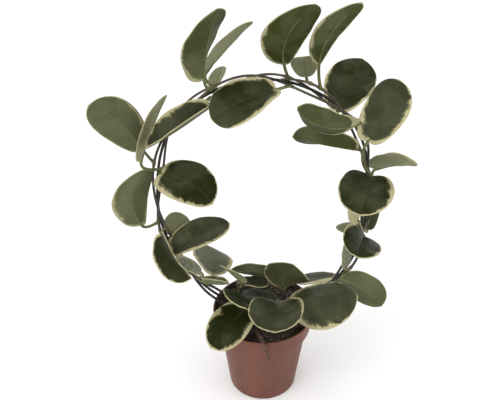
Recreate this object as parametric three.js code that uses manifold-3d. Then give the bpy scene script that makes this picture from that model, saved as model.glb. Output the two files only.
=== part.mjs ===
// A hoya in a plastic nursery pot, its vines wound round an upright wire hoop.
// Millimetres, +Z up, +Y to the back. The origin is the centre of the pot's flat underside.
import * as THREE from 'three';
import { mergeVertices } from 'three/addons/utils/BufferGeometryUtils.js';
import Module from 'manifold-3d';

const wasm = await Module();
wasm.setup();

// Driving dimensions of the pot
const POT_HEIGHT = 115.5;
const RIM_RADIUS = 60;
const BAND_HEIGHT = 25;
const BAND_LOW_RADIUS = 56.5;
const BODY_TOP_RADIUS = 52.2;
const BASE_RADIUS = 40.2;
const BASE_ROUNDING = 1.5;
const EDGE_CHAMFER = 0.6;
const WALL = 1.7;
const FLOOR = 2.4;
const POT_SEGMENTS = 40;
const DRAIN_HOLES = 6;
const DRAIN_HOLE_RADIUS = 4;
const DRAIN_HOLE_SIDES = 10;
const DRAIN_RING_RADIUS = 28;

// Driving dimensions of the soil
const SOIL_EDGE_HEIGHT = 107.5;
const SOIL_MOUND = 3;
const SOIL_LUMP = 1.1;
const SOIL_RINGS = 5;

// Driving dimensions of the wire hoop: an ellipse whose two ends turn down into the soil. It was bent by hand,
// so its upper half has shoulders that stand out by HOOP_SHOULDER and its lower half leans right by HOOP_LEAN.
const HOOP_CENTRE_X = -2;
const HOOP_CENTRE_Z = 268;
const HOOP_HALF_WIDTH = 114;
const HOOP_HALF_HEIGHT = 151;
const HOOP_SHOULDER = 6.5;
const HOOP_LEAN = 5;
const LEG_START_ANGLE = 150;
const LEG_SPREAD = 38;
const LEG_DROP = 57;
const HOOP_END_ANGLE = 178;
const HOOP_STEP = 6;
const WIRE_RADIUS = 1.5;

// Driving dimensions of the vines, which wind VINE_TURN times round the wire on each round of the hoop
const VINE_RADIUS = 1.6;
const VINE_TIP_SHARE = 0.75;
const VINE_DISTANCE = 5.2;
const VINE_TURN = 5;
const NODE_SWELLING = 0.7;
const NODE_LENGTH = 4;
const STEM_SIDES = 6;
const SHOOT_STEPS = 9;

// Driving dimensions of the dry stem, with the points that it passes
const DRY_STEM_RADIUS = 2.4;
const DRY_STEM_TAPER = 0.25;
const DRY_STEM_SIDES = 7;
const DRY_STEM_STEPS = 14;
const DRY_STEM_PATH = [
  [-12, -26, 98],
  [-10, -34, 109],
  [-6, -47, 117],
  [-3, -57, 119.5],
  [1, -64.5, 116],
  [6, -65, 98],
];

// Driving dimensions of the leaves. The half width of a blade follows a sine raised to OUTLINE_POWER, and
// each share is a share of the leaf's own width or length.
const BLADE_THICKNESS = 1.3;
const BLADE_ROWS = 7;
const BLADE_COLUMNS = 4;
const OUTLINE_POWER = 0.88;
const BASE_WIDTH_SHARE = 0.08;
const TIP_WIDTH_SHARE = 0.02;
const TIP_LENGTH_SHARE = 0.02;
const LOBE_SHARE = 0.13;
const LOBE_POWER = 1.6;
const LOBE_FULL_WIDTH = 0.625;
const TWIST_CENTRE = 0.3;
const PETIOLE_RADIUS = 1.2;
const PETIOLE_SIDES = 4;
const PETIOLE_STEPS = 5;
const PETIOLE_SUNK_ROW = 0.16;

// Clearance between pieces that touch
const GAP = 0.3;

const MATERIALS = {
  plastic: new THREE.MeshStandardMaterial({ color: 0x8a5346, roughness: 0.6, metalness: 0 }),
  soil: new THREE.MeshStandardMaterial({ color: 0x3a2c22, roughness: 0.95, metalness: 0 }),
  wire: new THREE.MeshStandardMaterial({ color: 0x23211e, roughness: 0.5, metalness: 0.4 }),
  stem: new THREE.MeshStandardMaterial({ color: 0x3b3326, roughness: 0.7, metalness: 0 }),
  dryStem: new THREE.MeshStandardMaterial({ color: 0x4f3d30, roughness: 0.9, metalness: 0 }),
  leaf: new THREE.MeshStandardMaterial({ color: 0x48502f, roughness: 0.4, metalness: 0 }),
};

const radians = THREE.MathUtils.degToRad;
const { lerp, clamp, mapLinear, smoothstep } = THREE.MathUtils;
const part = new THREE.Group();

// Turns a closed geometry into a solid that can be joined and cut
function toSolid(geometry) {
  const bare = geometry.clone();
  bare.deleteAttribute('normal');
  bare.deleteAttribute('uv');
  const merged = mergeVertices(bare, 1e-4);
  const vertProperties = new Float32Array(merged.attributes.position.array);
  const triVerts = new Uint32Array(merged.index.array);
  return new wasm.Manifold(new wasm.Mesh({ numProp: 3, vertProperties, triVerts }));
}

function toGeometry(solid) {
  const mesh = solid.getMesh();
  const geometry = new THREE.BufferGeometry();
  geometry.setAttribute('position', new THREE.BufferAttribute(new Float32Array(mesh.vertProperties), 3));
  geometry.setIndex(new THREE.BufferAttribute(new Uint32Array(mesh.triVerts), 1));
  geometry.computeVertexNormals();
  return geometry;
}

function addNode(name, solid, material) {
  const mesh = new THREE.Mesh(toGeometry(solid), material);
  mesh.name = name;
  part.add(mesh);
}

function geometryFrom(points, triangles) {
  const geometry = new THREE.BufferGeometry();
  geometry.setAttribute('position', new THREE.Float32BufferAttribute(points.flatMap((p) => p.toArray()), 3));
  geometry.setIndex(triangles);
  return geometry;
}

function circlePoint(radius, step, steps) {
  const angle = (2 * Math.PI * step) / steps;
  return new THREE.Vector2(radius * Math.cos(angle), radius * Math.sin(angle));
}

// A rod of one thickness along a curve
function evenRod(curve, radius, sides, steps) {
  const corners = Array.from({ length: sides }, (_, k) => circlePoint(radius, k, sides));
  const section = new THREE.Shape(corners);
  return toSolid(new THREE.ExtrudeGeometry(section, { steps, bevelEnabled: false, extrudePath: curve }));
}

// A rod through the points with closed ends, as thick as radiusAt gives for each of them
function taperedRod(points, radiusAt, sides) {
  const corners = [];
  const triangles = [];
  let across = new THREE.Vector3(0, 1, 0);
  points.forEach((point, i) => {
    const before = points[Math.max(i - 1, 0)];
    const after = points[Math.min(i + 1, points.length - 1)];
    const along = after.clone().sub(before).normalize();
    across = across.clone().addScaledVector(along, -across.dot(along)).normalize();
    const upward = along.clone().cross(across);
    for (let k = 0; k < sides; k += 1) {
      const out = circlePoint(radiusAt(i), k, sides);
      corners.push(point.clone().addScaledVector(across, out.x).addScaledVector(upward, out.y));
    }
  });
  const startCap = corners.push(points[0].clone()) - 1;
  const endCap = corners.push(points[points.length - 1].clone()) - 1;
  const last = (points.length - 1) * sides;
  for (let k = 0; k < sides; k += 1) {
    const next = (k + 1) % sides;
    for (let low = 0; low < last; low += sides) {
      const high = low + sides;
      triangles.push(low + k, low + next, high + next);
      triangles.push(low + k, high + next, high + k);
    }
    triangles.push(startCap, next, k);
    triangles.push(endCap, last + k, last + next);
  }
  return toSolid(geometryFrom(corners, triangles));
}

// Pot: a tapered cup with a taller rim band, made by turning its wall's section

const bandBottom = POT_HEIGHT - BAND_HEIGHT;
const innerWall = [
  [BASE_RADIUS - WALL - 1, FLOOR],
  [BASE_RADIUS - WALL + EDGE_CHAMFER, FLOOR + 2],
  [BODY_TOP_RADIUS - WALL, bandBottom + WALL],
  [BAND_LOW_RADIUS - WALL, bandBottom + WALL + 1],
  [RIM_RADIUS - WALL - EDGE_CHAMFER, POT_HEIGHT - 2 * EDGE_CHAMFER],
];

function innerRadius(z) {
  const above = innerWall.findIndex((corner) => corner[1] >= z);
  const [lowRadius, lowZ] = innerWall[above - 1];
  const [highRadius, highZ] = innerWall[above];
  return mapLinear(z, lowZ, highZ, lowRadius, highRadius);
}

function buildPot() {
  const outline = [
    [0, 0],
    [BASE_RADIUS - BASE_ROUNDING, 0],
    [BASE_RADIUS - BASE_ROUNDING * 0.3, BASE_ROUNDING * 0.3],
    [BASE_RADIUS + EDGE_CHAMFER, BASE_ROUNDING],
    [BODY_TOP_RADIUS, bandBottom],
    [BAND_LOW_RADIUS - EDGE_CHAMFER, bandBottom],
    [BAND_LOW_RADIUS, bandBottom + EDGE_CHAMFER],
    [RIM_RADIUS, POT_HEIGHT - EDGE_CHAMFER],
    [RIM_RADIUS - EDGE_CHAMFER, POT_HEIGHT],
    [RIM_RADIUS - WALL, POT_HEIGHT],
    ...innerWall.toReversed(),
    [0, FLOOR],
  ];
  const profile = outline.map(([radius, z]) => new THREE.Vector2(radius, z));
  const cup = new THREE.LatheGeometry(profile, POT_SEGMENTS).rotateX(Math.PI / 2);
  let solid = toSolid(cup);
  const radius = DRAIN_HOLE_RADIUS;
  for (let i = 0; i < DRAIN_HOLES; i += 1) {
    const centre = circlePoint(DRAIN_RING_RADIUS, i + 0.5, DRAIN_HOLES);
    const hole = new THREE.CylinderGeometry(radius, radius, 4 * FLOOR, DRAIN_HOLE_SIDES);
    hole.rotateX(Math.PI / 2).translate(centre.x, centre.y, 0);
    solid = solid.subtract(toSolid(hole));
  }
  return solid;
}

// Soil: fills the pot up to just under the rim, with a low uneven mound on top

function soilHeight(x, y) {
  const reach = Math.hypot(x, y) / RIM_RADIUS;
  const lumps = Math.sin(0.21 * x + 0.4) * Math.sin(0.26 * y + 1.1) + 0.6 * Math.sin(0.43 * x - 0.37 * y);
  return SOIL_EDGE_HEIGHT + SOIL_MOUND * (1 - reach * reach) + SOIL_LUMP * lumps;
}

function buildSoil(cutters) {
  const sideHeights = [FLOOR + GAP, ...innerWall.slice(1, 4).map((corner) => corner[1])];
  const points = [new THREE.Vector3(0, 0, sideHeights[0])];
  const triangles = [];
  const topRadius = innerRadius(SOIL_EDGE_HEIGHT) - GAP;
  const ringRadii = sideHeights.map((z) => innerRadius(z) - 1.3 * GAP);
  for (let ring = 0; ring < SOIL_RINGS; ring += 1) ringRadii.push(topRadius * (1 - ring / SOIL_RINGS));
  ringRadii.forEach((radius, ring) => {
    for (let k = 0; k < POT_SEGMENTS; k += 1) {
      const { x, y } = circlePoint(radius, k, POT_SEGMENTS);
      const z = ring < sideHeights.length ? sideHeights[ring] : soilHeight(x, y);
      points.push(new THREE.Vector3(x, y, z));
    }
  });
  const top = points.push(new THREE.Vector3(0, 0, soilHeight(0, 0))) - 1;
  const last = 1 + (ringRadii.length - 1) * POT_SEGMENTS;
  for (let k = 0; k < POT_SEGMENTS; k += 1) {
    const next = (k + 1) % POT_SEGMENTS;
    triangles.push(0, 1 + next, 1 + k);
    triangles.push(top, last + k, last + next);
    for (let low = 1; low < last; low += POT_SEGMENTS) {
      const high = low + POT_SEGMENTS;
      triangles.push(low + k, low + next, high + next);
      triangles.push(low + k, high + next, high + k);
    }
  }
  let solid = toSolid(geometryFrom(points, triangles));
  cutters.forEach((cutter) => {
    solid = solid.subtract(cutter);
  });
  return solid;
}

// Hoop: a place on it is an angle from its top, negative to the left. Past LEG_START_ANGLE the ellipse
// bends over into two legs that stand apart in the soil.

function hoopPoint(angle) {
  const beyond = clamp((Math.abs(angle) - LEG_START_ANGLE) / (180 - LEG_START_ANGLE), 0, 1);
  const shift = Math.abs(angle) < 90 ? HOOP_SHOULDER * Math.sign(angle) : HOOP_LEAN;
  const bend = shift * Math.sin(radians(2 * angle)) ** 2;
  const ellipseX = HOOP_CENTRE_X + HOOP_HALF_WIDTH * Math.sin(radians(angle)) + bend;
  const legX = Math.sign(angle) * LEG_SPREAD;
  const x = lerp(ellipseX, legX, smoothstep(2 * beyond, 0, 1));
  const z = HOOP_CENTRE_Z + HOOP_HALF_HEIGHT * Math.cos(radians(angle)) - LEG_DROP * beyond ** 1.5;
  return new THREE.Vector3(x, 0, z);
}

function hoopOutward(angle) {
  const along = hoopPoint(angle + 0.01).sub(hoopPoint(angle - 0.01)).normalize();
  return new THREE.Vector3(-along.z, 0, along.x);
}

class HoopCurve extends THREE.Curve {
  getPoint(share, target = new THREE.Vector3()) {
    return target.copy(hoopPoint(lerp(-HOOP_END_ANGLE, HOOP_END_ANGLE, share)));
  }
}

function buildHoop(extra) {
  const steps = Math.round((2 * HOOP_END_ANGLE) / HOOP_STEP);
  return evenRod(new HoopCurve(), WIRE_RADIUS + extra, STEM_SIDES, steps);
}

// Vines: each winds round the wire as a loose spiral, from its root to its tip by hoop angle
const vines = {
  vine_left_long: { from: -HOOP_END_ANGLE, to: 32, phase: 0 },
  vine_left_short: { from: -HOOP_END_ANGLE, to: -26, phase: 180 },
  vine_right_long: { from: HOOP_END_ANGLE, to: -48, phase: 90 },
  vine_right_short: { from: HOOP_END_ANGLE, to: 8, phase: 270 },
};

function vinePoint(vine, angle) {
  const turn = radians(vine.phase + VINE_TURN * angle);
  const point = hoopPoint(angle).addScaledVector(hoopOutward(angle), VINE_DISTANCE * Math.cos(turn));
  point.y += VINE_DISTANCE * Math.sin(turn);
  return point;
}

// Shoots: short leafy stems that stand in the soil, by the points they pass
const shoots = {
  shoot_left: [[-26, 14, 88], [-26, 14, 112], [-27, 12, 128], [-28, 9, 142]],
  shoot_low: [[-2, -22, 88], [-2, -24, 112], [-4, -27, 126], [-8, -29, 134]],
  shoot_front: [[5, -8, 88], [6, -10, 112], [10, -14, 130], [17, -19, 141]],
  shoot_right: [[25, 12, 88], [25, 10, 112], [25, 6, 134], [23, 3, 152]],
};

function curveThrough(places) {
  return new THREE.CatmullRomCurve3(places.map((place) => new THREE.Vector3(...place)));
}

// A place on a vine is its hoop angle. A place on a shoot runs from 0 in the soil to 1 at its tip.
function stemPoint(stem, place) {
  return stem in vines ? vinePoint(vines[stem], place) : curveThrough(shoots[stem]).getPoint(place);
}

// Leaves, one line each. The base is where the blade meets its petiole (x, y, z). Azimuth, from +X, and
// rise aim the line from base to tip, and roll turns the leaf about it. Arch bends the midrib, fold lifts
// the two halves at the base and at the tip, sweep bows the leaf sideways by a share of its length, and
// twist turns the tip against the base. Angles are in degrees.
const leafColumns = [
  'name', 'stem', 'place', 'base', 'length', 'width', 'azimuth', 'rise', 'roll',
  'arch', 'foldBase', 'foldTip', 'sweep', 'twist',
];
const leaves = [
  ['top_1', 'vine_right_long', -24, [-60, -14, 425], 75, 54, -13, 79, 25, 25, 50, 0, 0, 0],
  ['top_2', 'vine_left_short', -24, [-60, 17, 417], 69, 36, 10, 47, 40, 15, 17, 15, 0, 0],
  ['top_3', 'vine_left_short', -23, [-52, 30, 393], 25, 22, 19, 69, 65, 20, 30, 5, 0, 0],
  ['top_4', 'vine_right_long', 13, [9, -22, 419], 68, 53, -160, -16, 10, 10, 20, 5, -0.03, -35],
  ['top_5', 'vine_left_long', 11, [17, -1, 435], 75, 49, -36, 66, 35, -10, 25, 5, -0.16, 0],
  ['top_6', 'vine_right_short', 26, [51, -1, 435], 77, 33, -21, 62, 50, -5, 40, 5, -0.13, 5],
  ['top_7', 'vine_right_short', 21, [41, 24, 409], 39, 28, -106, 56, -15, 20, 20, 10, 0, 0],
  ['right_1', 'vine_right_short', 40, [73, 9, 378], 72, 53, 64, 24, -10, 5, 35, -5, 0, 0],
  ['right_2', 'vine_right_short', 74, [103, -17, 358], 72, 47, 54, 38, -10, 25, 25, 5, -0.05, 10],
  ['right_3', 'vine_right_long', 46, [86, -29, 383], 63, 50, -170, 24, -55, -45, 5, 30, -0.12, -15],
  ['right_4', 'vine_right_short', 64, [93, -15, 347], 67, 44, 164, 3, -50, -10, 45, 25, 0, 36],
  ['right_5', 'vine_right_short', 82, [120, 18, 301], 59, 44, -52, 38, 30, -5, 24, 10, 0, -25],
  ['right_6', 'vine_right_short', 77, [110, -10, 311], 68, 58, -105, -2, 5, 20, 15, 10, 0, 5],
  ['right_7', 'vine_right_long', 104, [110, -10, 231], 59, 48, -105, 15, 35, 20, 30, 10, -0.05, 35],
  ['right_8', 'vine_right_short', 108, [109, 33, 202], 38, 22, -146, 41, -60, 10, 15, 5, 0, -10],
  ['right_9', 'vine_right_short', 100, [105, 9, 238], 34, 20, 102, -5, 70, 15, 15, 0, 0, -5],
  ['right_10', 'vine_right_short', 104, [117, 14, 222], 48, 29, 86, 65, -35, 15, 10, 5, 0, 0],
  ['right_11', 'vine_right_long', 126, [92, -8, 185], 42, 22, 0, 89, -140, 10, 10, 0, 0, -5],
  ['left_1', 'vine_left_long', -70, [-129, 5, 336], 77, 46, -160, 51, -100, 5, 30, 5, 0.08, 15],
  ['left_2', 'vine_left_short', -72, [-128, -13, 332], 73, 38, 38, 61, 55, 15, 18, 14, 0, 0],
  ['left_3', 'vine_left_long', -27, [-54, -23, 402], 85, 45, 175, -38, 25, 5, 65, 30, 0.04, 30],
  ['left_4', 'vine_left_short', -100, [-135, -7, 244], 69, 46, 45, 79, 100, 5, 25, 5, -0.2, 0],
  ['left_5', 'vine_left_short', -73, [-110, -8, 313], 70, 51, -37, -7, -25, 10, 0, 10, 0.09, -25],
  ['left_6', 'vine_left_long', -110, [-103, -14, 212], 71, 45, 15, 22, -10, 15, 30, 5, 0.02, -10],
  ['left_7', 'vine_left_short', -104, [-106, 14, 213], 29, 37, 49, 24, 125, 10, 20, 0, 0, 0],
  ['left_8', 'vine_left_long', -102, [-114, -7, 232], 59, 44, -40, -45, -90, 50, 15, 30, -0.05, -15],
  ['low_1', 'vine_left_short', -134, [-72, -12, 180], 35, 27, -178, 39, -5, 10, 15, -5, 0, -5],
  ['low_2', 'vine_left_short', -140, [-71, -10, 166], 31, 22, -4, -4, 20, -30, 58, 50, 0, 0],
  ['low_3', 'vine_left_short', -142, [-59, 7, 160], 61, 48, 100, -3, -15, 20, 30, -15, -0.05, 0],
  ['low_4', 'shoot_left', 0.95, [-26, -3, 158], 42, 28, -148, 55, -20, 20, 15, 0, 0, -5],
  ['low_5', 'shoot_left', 0.8, [-28, 11, 146], 34, 27, 0, -5, 15, 10, 15, 0, 0, 0],
  ['low_6', 'shoot_right', 0.95, [15, 17, 149], 56, 39, -170, 21, -60, 15, 10, 10, 0, -5],
  ['low_7', 'shoot_right', 0.8, [20, 0, 148], 57, 54, -60, 65, 35, 0, 25, -10, 0, -25],
  ['low_8', 'vine_right_long', 144, [84, 30, 136], 50, 40, 157, -20, -15, 5, 5, 0, 0, 0],
  ['low_9', 'shoot_front', 0.85, [16, -35, 153], 64, 65, -95, 15, -5, 30, 30, 10, 0, 0],
  ['low_10', 'shoot_low', 0.95, [-17, -25, 143], 68, 46, -130, -15, 10, 20, 10, 10, 0, -45],
  ['low_11', 'shoot_low', 0.8, [-9, -43, 150], 47, 32, 180, 40, -15, 10, 15, -10, 0, -5],
  ['low_12', 'shoot_front', 0.6, [16, -2, 128], 52, 39, -165, 20, -10, 15, 15, -5, 0, 15],
  ['low_13', 'shoot_front', 1, [28, -32, 155], 77, 70, -5, 10, -20, 50, -40, -15, -0.05, -15],
  ['low_14', 'vine_right_long', 130, [90, 2, 159], 66, 46, 0, -40, 80, 15, 20, 10, -0.05, 0],
].map((row) => Object.fromEntries(leafColumns.map((column, i) => [column, row[i]])));

// Unit vectors of a leaf: along the line from base to tip, out of its upper face, and across it
function leafAxes({ azimuth, rise, roll }) {
  const [a, r, k] = [radians(azimuth), radians(rise), radians(roll)];
  const chord = new THREE.Vector3(Math.cos(r) * Math.cos(a), Math.cos(r) * Math.sin(a), Math.sin(r));
  const level = new THREE.Vector3(-Math.sin(r) * Math.cos(a), -Math.sin(r) * Math.sin(a), Math.cos(r));
  const beside = level.clone().cross(chord);
  const up = level.multiplyScalar(Math.cos(k)).addScaledVector(beside, Math.sin(k));
  return { chord, up, across: up.clone().cross(chord) };
}

// Half the blade's width at a row, as a share of its greatest half width
function widthShare(row) {
  if (row === 0) return BASE_WIDTH_SHARE;
  return Math.max(Math.sin(Math.PI * row) ** OUTLINE_POWER, TIP_WIDTH_SHARE);
}

// A point of the blade's middle surface. Row runs from 0 at the base to 1 at the tip, column from -1 to 1.
// The midrib is an arc, the outline is a blunt ellipse with a short tip and two small lobes at the base,
// and the halves fold up along the midrib.
function bladePoint(leaf, row, column) {
  const { chord, up, across } = leafAxes(leaf);
  const share = (1 - Math.cos(Math.PI * row)) / 2;
  const reach = row === 1 ? 1 + TIP_LENGTH_SHARE : share;
  const arch = radians(leaf.arch || 1);
  const arc = leaf.length / (2 * Math.sin(arch / 2));
  const lean = arch / 2 - arch * reach;
  const along = chord.clone().multiplyScalar(Math.cos(lean)).addScaledVector(up, Math.sin(lean));
  const above = chord.clone().multiplyScalar(-Math.sin(lean)).addScaledVector(up, Math.cos(lean));
  const point = new THREE.Vector3(...leaf.base);
  point.addScaledVector(chord, arc * (Math.sin(arch / 2) - Math.sin(lean)));
  point.addScaledVector(up, arc * (Math.cos(lean) - Math.cos(arch / 2)));
  point.addScaledVector(across, leaf.sweep * leaf.length * 4 * reach * (1 - reach));
  const twist = radians(leaf.twist) * (share - TWIST_CENTRE);
  const side = across.clone().multiplyScalar(Math.cos(twist)).addScaledVector(above, Math.sin(twist));
  const face = above.clone().multiplyScalar(Math.cos(twist)).addScaledVector(across, -Math.sin(twist));
  const fold = radians(lerp(leaf.foldBase, leaf.foldTip, share));
  const spread = widthShare(row);
  const offset = (leaf.width / 2) * spread * Math.abs(column);
  const lobeDepth = LOBE_SHARE * leaf.width * (1 - share) ** 3 * Math.min(1, spread / LOBE_FULL_WIDTH);
  point.addScaledVector(side, Math.sign(column) * offset * Math.cos(fold));
  point.addScaledVector(face, offset * Math.sin(fold));
  return point.addScaledVector(along, -lobeDepth * Math.abs(column) ** LOBE_POWER);
}

// The blade: the middle surface moved up and down by half its thickness, both faces split alike
function buildBlade(leaf) {
  const across = BLADE_COLUMNS + 1;
  const middle = [];
  for (let i = 0; i <= BLADE_ROWS; i += 1) {
    for (let j = 0; j < across; j += 1) {
      middle.push(bladePoint(leaf, i / BLADE_ROWS, (2 * j) / BLADE_COLUMNS - 1));
    }
  }
  const faces = [];
  for (let i = 0; i < BLADE_ROWS; i += 1) {
    for (let j = 0; j < BLADE_COLUMNS; j += 1) {
      const corner = i * across + j;
      faces.push(corner, corner + across, corner + 1);
      faces.push(corner + 1, corner + across, corner + across + 1);
    }
  }
  const sheet = geometryFrom(middle, faces);
  sheet.computeVertexNormals();
  const normals = middle.map((_, i) => new THREE.Vector3().fromBufferAttribute(sheet.attributes.normal, i));
  const half = BLADE_THICKNESS / 2;
  const lift = (distance) => middle.map((p, i) => p.clone().addScaledVector(normals[i], distance));
  const count = middle.length;
  const triangles = [...faces];
  for (let i = 0; i < faces.length; i += 3) {
    triangles.push(count + faces[i], count + faces[i + 2], count + faces[i + 1]);
  }
  const border = [];
  for (let j = 0; j < BLADE_COLUMNS; j += 1) border.push(j);
  for (let i = 0; i < BLADE_ROWS; i += 1) border.push(i * across + BLADE_COLUMNS);
  for (let j = BLADE_COLUMNS; j > 0; j -= 1) border.push(BLADE_ROWS * across + j);
  for (let i = BLADE_ROWS; i > 0; i -= 1) border.push(i * across);
  border.forEach((here, i) => {
    const next = border[(i + 1) % border.length];
    triangles.push(here, next, count + next);
    triangles.push(here, count + next, count + here);
  });
  return toSolid(geometryFrom([...lift(half), ...lift(-half)], triangles));
}

// The petiole: a short round stalk from the stem's centre that bends straight into the blade's base
function buildPetiole(leaf) {
  const start = stemPoint(leaf.stem, leaf.place);
  const neck = bladePoint(leaf, 0, 0);
  const sunk = bladePoint(leaf, PETIOLE_SUNK_ROW, 0);
  const into = sunk.clone().sub(neck).normalize();
  const span = start.distanceTo(neck);
  const leaving = start.clone().lerp(neck, 0.35).addScaledVector(into, -0.15 * span);
  const arriving = neck.clone().addScaledVector(into, -0.4 * span);
  const curve = new THREE.CubicBezierCurve3(start, leaving, arriving, sunk);
  return evenRod(curve, PETIOLE_RADIUS, PETIOLE_SIDES, PETIOLE_STEPS);
}

// A stem is thicker where a leaf leaves it
function swelling(stem, point) {
  const nodes = leaves.filter((leaf) => leaf.stem === stem).map((leaf) => stemPoint(stem, leaf.place));
  const nearest = Math.min(...nodes.map((node) => node.distanceTo(point)), 4 * NODE_LENGTH);
  return NODE_SWELLING * Math.exp(-((nearest / NODE_LENGTH) ** 2));
}

function buildVine(name, extra) {
  const { from, to } = vines[name];
  const steps = Math.round(Math.abs(to - from) / HOOP_STEP);
  const points = [];
  for (let i = 0; i <= steps; i += 1) points.push(vinePoint(vines[name], lerp(from, to, i / steps)));
  const taper = (i) => lerp(1, VINE_TIP_SHARE, i / steps);
  const radiusAt = (i) => VINE_RADIUS * taper(i) + swelling(name, points[i]) + extra;
  return taperedRod(points, radiusAt, STEM_SIDES);
}

function buildShoot(name, extra) {
  const points = curveThrough(shoots[name]).getPoints(SHOOT_STEPS);
  const radiusAt = (i) => VINE_RADIUS + swelling(name, points[i]) + extra;
  return taperedRod(points, radiusAt, STEM_SIDES);
}

function buildStem(name, extra) {
  return name in vines ? buildVine(name, extra) : buildShoot(name, extra);
}

// Dry stem: a dead woody stub that leaves the soil and hangs over the front of the rim
function buildDryStem(extra) {
  const points = curveThrough(DRY_STEM_PATH).getPoints(DRY_STEM_STEPS);
  const taper = (i) => 1 - DRY_STEM_TAPER * (i / DRY_STEM_STEPS) ** 2;
  return taperedRod(points, (i) => DRY_STEM_RADIUS * taper(i) + extra, DRY_STEM_SIDES);
}

const stemNames = [...Object.keys(vines), ...Object.keys(shoots)];
const stemCutters = Object.fromEntries(stemNames.map((name) => [name, buildStem(name, GAP)]));
const soilCutters = [...Object.values(stemCutters), buildHoop(GAP), buildDryStem(GAP)];

addNode('pot', buildPot(), MATERIALS.plastic);
addNode('soil', buildSoil(soilCutters), MATERIALS.soil);
addNode('wire_hoop', buildHoop(0), MATERIALS.wire);
stemNames.forEach((name) => addNode(name, buildStem(name, 0), MATERIALS.stem));
addNode('dry_stem', buildDryStem(0), MATERIALS.dryStem);
leaves.forEach((leaf) => {
  const solid = buildBlade(leaf).add(buildPetiole(leaf)).subtract(stemCutters[leaf.stem]);
  addNode(`leaf_${leaf.name}`, solid, MATERIALS.leaf);
});

export default part;
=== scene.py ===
import bmesh
import bpy
import numpy as np
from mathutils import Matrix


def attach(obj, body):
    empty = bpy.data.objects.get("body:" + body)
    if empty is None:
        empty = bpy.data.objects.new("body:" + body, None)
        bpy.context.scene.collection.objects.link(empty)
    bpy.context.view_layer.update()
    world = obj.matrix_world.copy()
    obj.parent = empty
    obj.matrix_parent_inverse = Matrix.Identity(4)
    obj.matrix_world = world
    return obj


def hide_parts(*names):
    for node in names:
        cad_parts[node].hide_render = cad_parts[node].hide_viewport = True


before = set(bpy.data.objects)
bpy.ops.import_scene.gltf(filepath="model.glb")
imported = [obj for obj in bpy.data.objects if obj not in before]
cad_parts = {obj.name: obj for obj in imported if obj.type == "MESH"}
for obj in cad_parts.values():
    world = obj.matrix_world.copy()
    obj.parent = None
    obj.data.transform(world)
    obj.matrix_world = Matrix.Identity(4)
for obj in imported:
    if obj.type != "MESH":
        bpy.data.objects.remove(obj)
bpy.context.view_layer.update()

# Pot: a round nursery pot of terracotta-coloured plastic, injection moulded in one piece. Its wall is thin,
# its rim is a taller and straighter band, and six holes in the floor let the water out.
MM = 0.001
POT_HEIGHT = 115.5 * MM
RIM_RADIUS = 60 * MM
BAND_LOW_RADIUS = 56.5 * MM
BAND_BOTTOM = 90.5 * MM
BODY_TOP_RADIUS = 52.2 * MM
BASE_RADIUS = 40.2 * MM
BASE_ROUNDING = 1.5 * MM
POT_CHAMFER = 0.6 * MM
WALL = 1.7 * MM
FLOOR = 2.4 * MM
EDGE_BEND = 0.45 * MM
EDGE_STEPS = 4
POT_SEGMENTS = 160
FOOT_BEVEL_HEIGHT = 2 * MM
FOOT_BEVEL_WIDTH = 1 * MM
STEP_HEIGHT = 1 * MM
DRAIN_HOLES = 6
DRAIN_HOLE_RADIUS = 4 * MM
DRAIN_RING_RADIUS = 28 * MM
DRAIN_HOLE_SIDES = 32
BRICK_RED = (0.16, 0.048, 0.025, 1)
DARK_BRICK = (0.13, 0.045, 0.027, 1)
SCUFF_PINK = (0.24, 0.11, 0.085, 1)
DIRT_BROWN = (0.09, 0.04, 0.028, 1)
# near-black painted shade for the inside of the rim band
RIM_INSIDE_SHADE = (0.022, 0.017, 0.013, 1)


def rounded(corners, bend, steps):
    """Each inner corner becomes a quadratic curve, from a point one bend before it to a point one bend
    after it: (1-t)^2 before + 2t(1-t) corner + t^2 after. A bend takes at most 0.45 of an edge."""
    before = corners[:-2] - corners[1:-1]
    after = corners[2:] - corners[1:-1]
    before *= np.minimum(bend / np.linalg.norm(before, axis=1), 0.45)[:, None]
    after *= np.minimum(bend / np.linalg.norm(after, axis=1), 0.45)[:, None]
    t = np.linspace(0, 1, steps + 1)[None, :, None]
    curve = corners[1:-1, None] + (1 - t) ** 2 * before[:, None] + t ** 2 * after[:, None]
    return np.concatenate([corners[:1], curve.reshape(-1, 2), corners[-1:]])


def grid_faces(numbers):
    """Four-sided faces between neighbouring rows and columns of a table of point numbers."""
    corners = [numbers[:-1, :-1], numbers[1:, :-1], numbers[1:, 1:], numbers[:-1, 1:]]
    return np.stack(corners, -1).reshape(-1, 4)


def closed_skin(rings, start, end):
    """Joins rings of points into a closed skin: faces from each ring to the next, and a fan of triangles
    from the first ring to the start point and from the last ring to the end point."""
    count, sides = rings.shape[:2]
    numbers = np.arange(count * sides).reshape(count, sides)
    numbers = np.concatenate([numbers, numbers[:, :1]], axis=1)
    faces = grid_faces(numbers).tolist()
    first = np.full(sides, count * sides)
    faces += np.stack([first, numbers[0, :-1], numbers[0, 1:]], -1).tolist()
    faces += np.stack([first + 1, numbers[-1, 1:], numbers[-1, :-1]], -1).tolist()
    points = np.concatenate([rings.reshape(-1, 3), [start], [end]])
    return points, faces


def turned(profile, segments):
    """A profile of radius and height carried round the Z axis: x = radius cos t, y = -radius sin t."""
    t = np.linspace(0, 2 * np.pi, segments, endpoint=False)
    radius = profile[1:-1, 0][:, None]
    height = np.broadcast_to(profile[1:-1, 1][:, None], (len(profile) - 2, segments))
    rings = np.stack([radius * np.cos(t), -radius * np.sin(t), height], -1)
    return closed_skin(rings, (0, 0, profile[0, 1]), (0, 0, profile[-1, 1]))


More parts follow.
